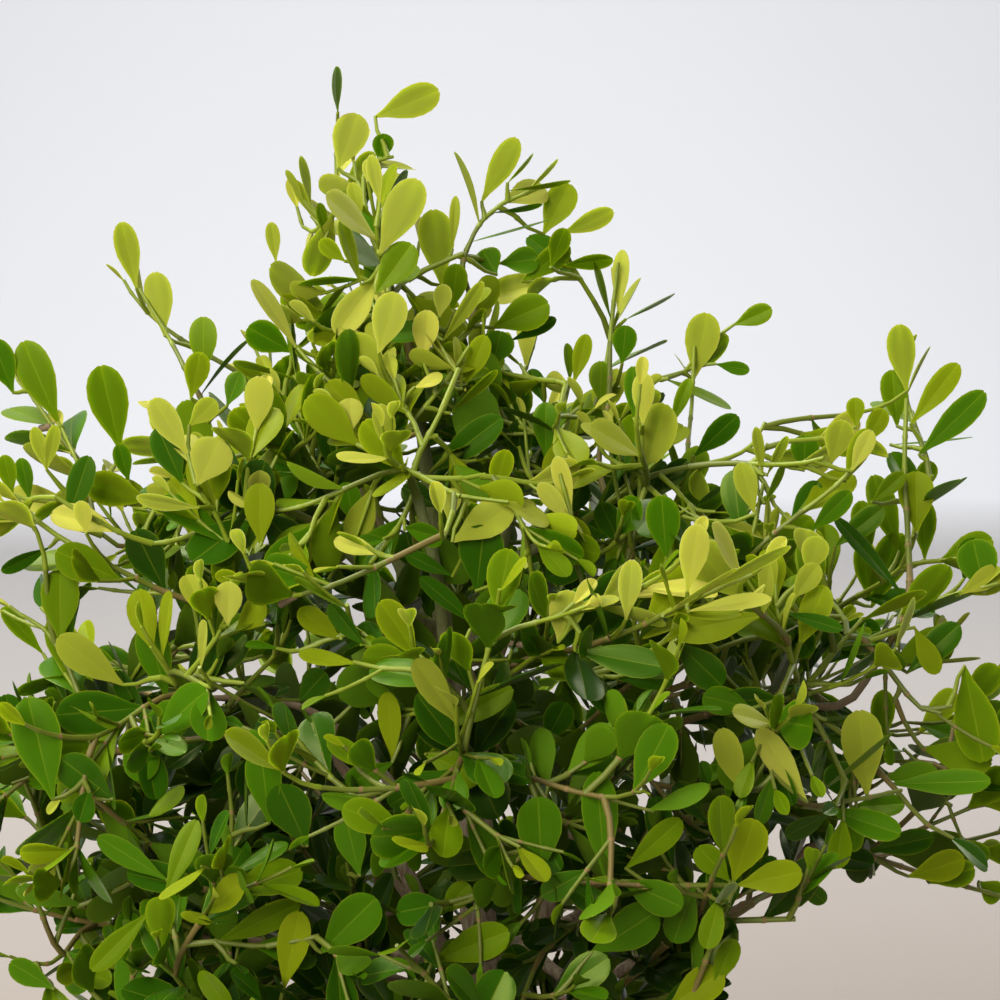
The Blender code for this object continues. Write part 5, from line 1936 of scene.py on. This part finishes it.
    def _side_shoots(self, twig: Twig) -> Iterator[Twig]:
        """Side shoots in the axils of a twig's pairs, from the third pair back.

        Args:
            twig: The twig, with its nodes laid.

        Yields:
            Each side shoot, with its own nodes laid.
        """
        root = self.rule.masses[self.name].root
        for tier in range(self.side_first, len(twig.nodes)):
            point, along, across = self._pair(twig, tier)
            for sign in (1.0, -1.0):
                if self.rng.random() > self.side_chance:
                    continue
                reach = self.rng.uniform(*self.side_length)
                reach = min(reach, self.side_short + self.side_gain * float(twig.nodes[tier]))
                opening = math.radians(self.rng.uniform(*self.side_openings))
                leave = unit(along * math.cos(opening) + across * sign * math.sin(opening))
                arrive = unit(leave + along * self.side_follow
                              + np.array((0.0, 0.0, self.side_lift)))
                tip = point + unit(leave + arrive) * reach
                curve = curved_path(point, leave, tip, arrive, self.side_points)
                if (self.rule.depth(tip[None])[0] < -self.side_outside
                        or not self.rule.inside(curve[3:], self.name, self.side_space).all()
                        or not self.grower.clear(curve[2:], root)):
                    continue
                start = twig.length() - float(twig.nodes[tier])
                foot = float(np.interp(start, path_lengths(twig.curve), twig.thick))
                thick = np.linspace(min(self.side_foot, foot * self.side_taper),
                                    self.side_tip, self.side_points)
                side = Twig(curve, thick, curve, thick, Rank.SIDE, twig.tone, parent=twig,
                            start=start)
                self._lay_nodes(side)
                yield side

    def _lay_leaves(self, twig: Twig, index: int, leaves: LeafRows) -> None:
        """Lay a pair of leaves at each node of a twig, small and upright at its tip.

        Args:
            twig: The twig.
            index: Its index among the mass's twigs.
            leaves: Where the leaves go.
        """
        sizes = (self.side_leaf_lengths if twig.rank is Rank.SIDE
                 else self.twig_leaf_lengths)
        spray = self.rng.gauss(0.0, self.spray)
        for tier in range(len(twig.nodes)):
            point, along, across = self._pair(twig, tier)
            lost = 0 if twig.nodes[0] < self.bud_reach else self.bud_pairs
            step = min(tier + lost, len(sizes) - 1)
            slim = self.slims[min(tier, len(self.slims) - 1)]
            for sign in (1.0, -1.0):
                if tier > self.whole_pairs and self.rng.random() < self.loss_chance:
                    continue
                opening = math.radians(self.openings[step]
                                       * self.rng.uniform(*self.opening_factors))
                sway = self.rng.uniform(-self.leaf_sway, self.leaf_sway)
                outward = turned(across * sign, along, np.array(sway))
                heading = unit(along * math.cos(opening) + outward * math.sin(opening))
                upper = along * math.sin(opening) - outward * math.cos(opening)
                light = np.array((0.0, 0.0, self.rng.uniform(*self.leaf_lights)))
                length = sizes[step] * self.rng.uniform(*self.length_factors)
                leaves.add(point - heading * self.leaf_sunk, heading, upper + light,
                           length=length,
                           width=length * slim * self.rng.uniform(*self.width_factors),
                           bend=math.radians(self.rng.uniform(*self.leaf_bends)),
                           fold=self.rng.uniform(*self.leaf_folds)
                           + (self.bud_fold if tier == 0 else 0.0),
                           twist=self.rng.gauss(0.0, self.leaf_twist),
                           youth=self.youths[step], tone=twig.tone + spray, tint=-1,
                           twig=index, place=twig.length() - float(twig.nodes[tier]))

    def _kept(self, leaves: dict[str, Vec]) -> dict[str, Vec]:
        """The leaves that keep to the mass's space, off the limbs and off each other.

        Args:
            leaves: Columns of LeafRows as arrays.

        Returns:
            The same columns for the leaves kept.
        """
        reach = leaves["along"] * leaves["length"][:, None]
        blades = leaves["base"] + reach * self.blade_middle
        tips = leaves["base"] + reach
        leads = leaves["tint"] >= 0
        fits = self.rule.inside(tips, self.name, self.leaf_space)
        fits &= self.rule.inside(blades, self.name, self.leaf_space)
        fits &= ~self.rule.covers(blades) & ~self.rule.covers(tips)
        fits |= leads
        reach = np.hypot(tips[:, 0], tips[:, 1])
        fits &= ~((tips[:, 2] < self.grower.pot_top) & (reach < self.grower.pot_radius))
        for form in self.rule.forms.values():
            fits &= nearest_on_path(blades, form.path)[0] > form.radii.max() + self.limb_clear
        taken: dict[tuple[int, ...], list[Vec]] = {}
        for index in np.flatnonzero(fits):
            cell = tuple((blades[index] // self.leaf_spacing).astype(int))
            near = [other for x in (-1, 0, 1) for y in (-1, 0, 1) for z in (-1, 0, 1)
                    for other in taken.get((cell[0] + x, cell[1] + y, cell[2] + z), ())]
            if near and not leads[index] and self.leaf_spacing > np.linalg.norm(
                    np.array(near) - blades[index], axis=1).min():
                fits[index] = False
                continue
            taken.setdefault(cell, []).append(blades[index])
        return {name: column[fits] for name, column in leaves.items()}

    def _tints(self, leaves: dict[str, Vec]) -> Ints:
        """Tint of each leaf: new growth high in the crown is the lightest, and leaves deep
        inside the outline are darkened as painted shade.

        Args:
            leaves: Columns of LeafRows as arrays.

        Returns:
            Index of the tint of each leaf.
        """
        # the depth inside the outline darkens the tint: painted shade
        bright = self.brightness.of(leaves, self.rule.depth(leaves["base"]))
        tints = np.clip((bright * len(Tint)).astype(int), 0, len(Tint) - 1)
        return np.where(leaves["tint"] < 0, tints, leaves["tint"])

    def _add_stub(self, batch: MeshBatch, twig: Twig) -> None:
        """A short pruned stub at one of a twig's inner nodes, with a pale cut end."""
        tier = self.rng.randrange(self.stub_first, len(twig.nodes))
        point, along, across = self._pair(twig, tier)
        heading = unit(across + along * self.stub_lean)
        reach = self.rng.uniform(*self.stub_lengths)
        steps = np.linspace(0.0, reach, len(self.stub_radii))[:, None]
        add_tube(batch, point + heading * steps, np.array(self.stub_radii),
                 self.tubes.sides, list(Wood).index(Wood.OLD), list(Wood).index(Wood.CUT))


# ---- trunk, stems and boughs ----------------------------------------------------------
@dataclass
class Woodwork:
    """The trunk, the stems and the boughs, with the relief of their bark."""

    rule: CrownRule
    spacing: float = 0.0012     # between rings
    trunk_sides: int = 40
    limb_sides: int = 18
    collar: float = 0.35        # swelling where a limb leaves its parent
    collar_reach: float = 0.004
    relief: float = 0.045       # height of the ridges over the radius
    ridge_pitch: Place = (0.7, 0.7, 4.5)        # over the radius
    lump_relief: float = 0.06
    lump_pitch: Place = (3.0, 3.0, 4.0)

    def build(self, material: Material) -> Iterator[Piece]:
        """One piece for each limb.

        Args:
            material: The bark.

        Yields:
            The pieces.
        """
        for seed, (name, form) in enumerate(self.rule.forms.items()):
            path, radii = self._finer(name, form)
            sides = self.trunk_sides if name == "trunk" else self.limb_sides
            batch = MeshBatch()
            add_tube(batch, path, self._with_relief(path, radii, sides, seed), sides, 0)
            piece = batch.piece(f"bark_{name}", [material])
            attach(piece, "root")
            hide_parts(name)
            LOG.info("bark_%s: %d triangles", name, batch.face_count())
            yield piece

    def _finer(self, name: str, form: LimbForm) -> tuple[Vec, Vec]:
        """Path and radii of a limb at close spacing, with a collar at its foot.

        Args:
            name: The limb.
            form: Its coarse form.

        Returns:
            Points and radii.
        """
        coarse = path_lengths(form.path)
        count = max(8, int(coarse[-1] / self.spacing))
        steps = np.linspace(0.0, coarse[-1], count)
        path = resampled(form.path, steps, smooth=True)
        radii = np.interp(steps, coarse, form.radii)
        if name != "trunk":
            radii = radii * (1.0 + self.collar * np.exp(-steps / self.collar_reach))
        return path, radii

    def _with_relief(self, path: Vec, radii: Vec, sides: int, seed: int) -> Vec:
        """Radii by point and side: long ridges and low lumps on the plain taper.

        Args:
            path: Points along the limb.
            radii: Plain radii.
            sides: Number of sides.
            seed: Seed of the relief.

        Returns:
            Radii, with shape (points, sides).
        """
        turn = np.linspace(0.0, 2.0 * math.pi, sides, endpoint=False)
        reach = float(radii.mean())
        steps = path_lengths(path)
        grid = np.stack((np.broadcast_to(reach * np.cos(turn), (len(path), sides)),
                         np.broadcast_to(reach * np.sin(turn), (len(path), sides)),
                         np.broadcast_to(steps[:, None], (len(path), sides))), axis=-1)
        ridges = ripple(grid, reach * np.array(self.ridge_pitch), seed, 28)
        lumps = ripple(grid, reach * np.array(self.lump_pitch), seed + 90)
        return radii[:, None] * (1.0 + self.relief * ridges + self.lump_relief * lumps)


# ---- pot and potting mix --------------------------------------------------------------
@dataclass
class ClayPot:
    """The turned clay pot: tapered wall, rim band, rounded edges and drain holes."""

    height: float = 0.128
    top_radius: float = 0.076
    base_radius: float = 0.051
    wall: float = 0.006
    floor: float = 0.008
    rim_height: float = 0.026
    rim_step: float = 0.0045
    edge: float = 0.0016
    sides: int = 160
    drain_radius: float = 0.004
    drain_ring: float = 0.025
    drain_count: int = 3
    drain_first: float = 0.3
    drain_sides: int = 24
    drain_heights: Place = (-0.004, 0.004, 0.012)
    floor_round: float = 0.003
    band_round: float = 0.0010
    spacing: float = 0.003      # between the profile's points, at most
    line_pitch: float = 0.0041
    line_height: float = 0.00008
    waver_pitch: Place = (0.09, 0.09, 0.05)
    waver_height: float = 0.00025
    plain_foot: float = 0.002   # how high the foot stays plain
    fade: float = 0.004
    sharp_angle: float = math.radians(50.0)

    def wall_radius(self, height: float) -> float:
        """Outer radius of the plain wall at a height."""
        top = self.top_radius - self.rim_step
        return self.base_radius + (top - self.base_radius) * height / self.height

    def profile(self) -> Vec:
        """Radius and height from the floor's middle by the inside and outside to the foot.

        Each corner is rounded by the quadratic curve that starts and ends the edge length
        along its two sides and has the corner as its middle point.

        Returns:
            The profile, with shape (n, 2).
        """
        inner = self.wall_radius(self.floor) - self.wall
        lip = self.wall_radius(self.height) - self.wall
        band = self.height - self.rim_height
        rim = self.wall_radius(band) + self.rim_step
        corners = np.array((
            (0.0, self.floor), (inner, self.floor), (lip, self.height),
            (self.top_radius, self.height), (rim, band), (self.wall_radius(band), band),
            (self.base_radius, 0.0), (0.0, 0.0),
        ))
        rounds = (0.0, self.floor_round, self.edge, self.edge, self.edge, self.band_round,
                  self.edge, 0.0)
        points = [corners[0]]
        for index in range(1, len(corners) - 1):
            before = unit(corners[index - 1] - corners[index])
            after = unit(corners[index + 1] - corners[index])
            for t in np.linspace(0.0, 1.0, 6):
                start = corners[index] + before * rounds[index]
                end = corners[index] + after * rounds[index]
                points.append(start * (1 - t) ** 2 + corners[index] * 2 * t * (1 - t)
                              + end * t ** 2)
        points.append(corners[-1])
        return self._spaced(np.array(points))

    def build(self, material: Material) -> Piece:
        """The pot's piece.

        Args:
            material: The clay.

        Returns:
            The piece, with its drain holes cut.
        """
        batch = MeshBatch()
        add_turned(batch, self.profile(), self._hand_made, self.sides)
        pot = batch.piece("clay_pot", [material])
        self._cut_drains(pot)
        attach(pot, "root")
        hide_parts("pot")
        LOG.info("clay_pot: %d faces", len(pot.data.polygons))
        return pot

    def _spaced(self, points: Vec) -> Vec:
        """A profile with points added so that none lie farther apart than the spacing."""
        parts = [points[:1]]
        for start, end in zip(points, points[1:]):
            count = max(1, int(np.linalg.norm(end - start) / self.spacing))
            shares = np.linspace(0.0, 1.0, count + 1)[1:, None]
            parts.append(start + (end - start) * shares)
        return np.concatenate(parts)

    def _hand_made(self, points: Vec) -> Vec:
        """Ring points with faint turning lines and a slight waver of the wall.

        Args:
            points: Points by ring and step, with shape (rings, sides, 3).

        Returns:
            The points moved along their radius, and not where the pot stands.
        """
        reach = np.linalg.norm(points[..., :2], axis=-1, keepdims=True)
        lines = np.sin(points[..., 2:] * 2.0 * math.pi / self.line_pitch) * self.line_height
        waver = ripple(points, np.array(self.waver_pitch), 5)[..., None] * self.waver_height
        free = np.clip((points[..., 2:] - self.plain_foot) / self.fade, 0.0, 1.0)
        outer = np.clip((reach - self.base_radius * 0.9) / self.fade, 0.0, 1.0)
        flat = unit(points * (1.0, 1.0, 0.0))
        return points + flat * (lines + waver) * free * outer

    def _cut_drains(self, pot: Piece) -> None:
        """Cut the drain holes, off the middle of the floor."""
        for index in range(self.drain_count):
            turn = 2.0 * math.pi * (index + self.drain_first) / self.drain_count
            batch = MeshBatch()
            heights = np.array(self.drain_heights)[:, None] * (0.0, 0.0, 1.0)
            add_tube(batch, level(turn) * self.drain_ring + heights,
                     np.full(len(heights), self.drain_radius), self.drain_sides, 0)
            cutter = batch.piece("drain_cutter", [])
            cut = pot.modifiers.new("drain", "BOOLEAN")
            cut.operation = "DIFFERENCE"
            cut.object = cutter
            bpy.context.view_layer.update()
            graph = bpy.context.evaluated_depsgraph_get()
            mesh = bpy.data.meshes.new_from_object(pot.evaluated_get(graph))
            pot.modifiers.clear()
            pot.data = mesh
            bpy.data.objects.remove(cutter)
        pot.data.set_sharp_from_angle(angle=self.sharp_angle)


class Crumb(Enum):
    """Colours of the loose crumbs."""

    DARK = WoodFinish((0.035, 0.022, 0.014), 0.9)
    BARK = WoodFinish((0.150, 0.080, 0.040), 0.9)
    PALE = WoodFinish((0.560, 0.540, 0.500), 0.9)

@dataclass
class PottingMix:
    """The potting mix: a filled body with an uneven top, and crumbs of bark on it."""

    pot: ClayPot
    top: float = 0.112
    sides: int = 96
    rings: int = 40
    gap: float = 0.0005         # to the pot's wall
    floor_gap: float = 0.0004
    waves: tuple[tuple[float, int, float], ...] = (     # pitch, seed and height
        (0.022, 11, 0.0011), (0.007, 12, 0.0005),
    )
    mound: float = 0.0016       # height round the trunk
    mound_reach: float = 0.018
    settled: float = 0.0012
    crumbs: int = 900
    crumb_margin: float = 0.003
    crumb_sizes: tuple[float, float] = (0.0005, 0.0032)
    crumb_shares: Place = (0.62, 0.31, 0.07)

    def build(self, material: Material) -> Piece:
        """The piece of packed mix and loose crumbs.

        Args:
            material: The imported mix.

        Returns:
            The piece.
        """
        inner = self.pot.wall_radius(self.top) - self.pot.wall - self.gap
        low = self.pot.wall_radius(self.pot.floor) - self.pot.wall - self.gap
        bed = self.pot.floor + self.floor_gap
        reach = np.linspace(0.0, inner, self.rings)
        profile = np.concatenate((np.stack((reach, np.full(self.rings, self.top)), -1),
                                  np.array(((low, bed), (0.0, bed)))))
        batch = MeshBatch()
        add_turned(batch, profile, self._uneven, self.sides)
        self._add_crumbs(batch, inner)
        slots = [material] + [crumb.value.material(f"crumb_{crumb.name.lower()}")
                              for crumb in Crumb]
        piece = batch.piece("potting_mix", slots)
        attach(piece, "root")
        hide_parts("soil")
        LOG.info("potting_mix: %d triangles", batch.face_count())
        return piece

    def height(self, places: Vec) -> Vec:
        """Height of the mix's top above its mean, higher round the trunk."""
        reach = np.hypot(places[..., 0], places[..., 1])
        flat = places * (1.0, 1.0, 0.0)
        waves = [ripple(flat, np.full(3, pitch), seed) * height
                 for pitch, seed, height in self.waves]
        mound = self.mound * np.exp(-(reach / self.mound_reach) ** 2)
        return sum(waves) + mound - self.settled

    def _uneven(self, points: Vec) -> Vec:
        """Ring points with the top surface moved up and down."""
        on_top = points[..., 2] > self.top - 0.001
        moved = points.copy()
        moved[..., 2] += np.where(on_top, self.height(points), 0.0)
        return moved

    def _add_crumbs(self, batch: MeshBatch, inner: float) -> None:
        """Crumbs: octahedra of random size, squash and turn, half sunk in the top."""
        rng = np.random.default_rng(7)
        reach = (inner - self.crumb_margin) * np.sqrt(rng.uniform(0.02, 1.0, self.crumbs))
        turn = rng.uniform(0.0, 2.0 * math.pi, self.crumbs)
        places = np.stack((reach * np.cos(turn), reach * np.sin(turn),
                           np.full(self.crumbs, self.top)), -1)
        places[:, 2] += self.height(places)
        size = rng.gamma(3.0, 0.00035, self.crumbs).clip(*self.crumb_sizes)
        corners = np.array(((1, 0, 0), (-1, 0, 0), (0, 1, 0), (0, -1, 0), (0, 0, 1),
                            (0, 0, -1)), dtype=float)
        squash = rng.uniform(0.45, 1.4, (self.crumbs, 1, 3)) * (1.0, 1.0, 0.7)
        jitter = rng.normal(0.0, 0.12, (self.crumbs, 6, 3))
        axes = np.linalg.qr(rng.normal(size=(self.crumbs, 3, 3)))[0]
        axes[:, :, 0] *= np.linalg.det(axes)[:, None]
        points = ((corners[None] * squash + jitter) * size[:, None, None]) @ axes
        offset = batch.add_points(points + places[:, None, :])
        faces = np.array(((0, 2, 4), (2, 1, 4), (1, 3, 4), (3, 0, 4),
                          (2, 0, 5), (1, 2, 5), (3, 1, 5), (0, 3, 5)))
        kinds = rng.choice((1, 2, 3), self.crumbs, p=self.crumb_shares)
        batch.add_faces((faces[None] + offset + np.arange(self.crumbs)[:, None, None] * 6
                         ).reshape(-1, 3), np.repeat(kinds, len(faces)))


# ---- studio ---------------------------------------------------------------------------
CROWN_MIDDLE = (0.001, 0.0, 0.284)


@dataclass(frozen=True)
class Light:
    """One large soft light: its place, and the place that it is turned to."""

    name: str
    place: Place
    size: float
    power: float
    aim: Place
    colour: Colour


@dataclass
class Studio:
    """A pale floor that sweeps up to a white wall, soft lights and the camera."""

    aim: Place = CROWN_MIDDLE
    distance: float = 0.85
    elevation: float = 6.0
    lens: float = 113.3
    sensor: float = 36.0
    front: float = -2.4
    back: float = 2.75
    cove: float = 0.55
    half_width: float = 4.0
    wall_top: float = 3.2
    # painted shade: the floor's colour darkens from the far floor towards the front
    shaded_near_floor: Colour = (0.280, 0.246, 0.232)
    far_floor: Colour = (0.490, 0.480, 0.490)
    wall: Colour = (0.770, 0.787, 0.850)
    sky: Colour = (0.96, 0.98, 1.0)
    sky_strength: float = 0.16
    lights: tuple[Light, ...] = (
        Light("key", (-0.9, 0.3, 1.7), 1.1, 50.0, CROWN_MIDDLE, (1.0, 0.97, 0.86)),
        Light("fill", (-0.8, -1.8, 1.2), 1.2, 56.0, CROWN_MIDDLE, (1.0, 0.97, 0.86)),
        Light("rim", (1.3, 1.0, 1.2), 0.9, 14.0, CROWN_MIDDLE, (1.0, 0.98, 0.90)),
        Light("wall", (0.0, 1.1, 1.9), 1.6, 20.0, (0.0, 2.75, 0.7), (0.97, 0.98, 1.0)),
    )

    def build(self) -> None:
        """Make the stage, the lights and the camera."""
        self._make_stage()
        self._make_camera()
        for light in self.lights:
            self._make_light(light)
        world = bpy.data.worlds.new("studio")
        world.use_nodes = True
        backdrop = world.node_tree.nodes["Background"]
        backdrop.inputs["Color"].default_value = (*self.sky, 1.0)
        backdrop.inputs["Strength"].default_value = self.sky_strength
        bpy.context.scene.world = world
        bpy.context.scene.view_settings.view_transform = "Standard"

    def _make_stage(self) -> None:
        """The floor and wall: one strip with a quarter-round cove between them."""
        turn = np.linspace(0.0, 0.5 * math.pi, 24)
        cove = np.stack((self.back - self.cove + self.cove * np.sin(turn),
                         self.cove - self.cove * np.cos(turn)), -1)
        strip = np.concatenate((np.array(((self.front, 0.0),)), cove,
                                np.array(((self.back, self.wall_top),))))
        sides = np.array((-self.half_width, self.half_width))
        points = np.stack((np.repeat(sides[None], len(strip), 0),
                           np.repeat(strip[:, :1], 2, 1), np.repeat(strip[:, 1:], 2, 1)), -1)
        batch = MeshBatch()
        batch.add_points(points)
        batch.add_faces(grid_faces(len(strip), 2, False), 0)
        sheet = NodeSheet("studio_floor")
        sheet.set(Roughness=0.95)
        # the floor's colour ramps darker towards the front: painted shade on the pale floor
        floor = sheet.ramp(sheet.range(sheet.axis("Y"), 0.5, 2.3),
                           ((0.0, self.shaded_near_floor), (1.0, self.far_floor)))
        sheet.drive("Base Color", sheet.mix(sheet.range(sheet.axis("Z"), 0.0, 0.035), floor,
                                            self.wall))
        floor = batch.piece("floor", [sheet.material])

    def _make_camera(self) -> None:
        """The camera, level with the upper crown and turned slightly down."""
        lift = math.radians(self.elevation)
        aim = Vector(self.aim)
        place = aim + Vector((0.0, -math.cos(lift), math.sin(lift))) * self.distance
        data = bpy.data.cameras.new("camera")
        data.lens = self.lens
        data.sensor_width = self.sensor
        camera = bpy.data.objects.new("camera", data)
        camera.location = place
        camera.rotation_euler = (aim - place).to_track_quat("-Z", "Y").to_euler()
        bpy.context.scene.collection.objects.link(camera)
        bpy.context.scene.camera = camera

    def _make_light(self, light: Light) -> None:
        """One square area light, turned to its aim."""
        data = bpy.data.lights.new(light.name, "AREA")
        data.size = light.size
        data.energy = light.power
        data.color = light.colour
        lamp = bpy.data.objects.new(light.name, data)
        lamp.location = light.place
        away = Vector(light.aim) - Vector(light.place)
        lamp.rotation_euler = away.to_track_quat("-Z", "Y").to_euler()
        bpy.context.scene.collection.objects.link(lamp)


def main() -> None:
    """Build the plant, its pot and the studio."""
    logging.basicConfig(level=logging.INFO, format="%(name)s %(message)s")
    Studio().build()
    pot = ClayPot()
    pot.build(ClayFinish().material())
    PottingMix(pot).build(MixFinish().material())
    rule = CrownRule()
    list(Woodwork(rule).build(BarkFinish().material()))
    leaf_slots = [material for tint in Tint for material in tint.value.materials(tint.name)]
    wood_slots = [wood.value.material(f"twig_{wood.name.lower()}") for wood in Wood]
    grower, shape = TwigGrower(rule), LeafShape()
    for name in rule.masses:
        list(FoliageMass(name, rule, grower, shape).build(leaf_slots, wood_slots))


if __name__ == "__main__":
    main()
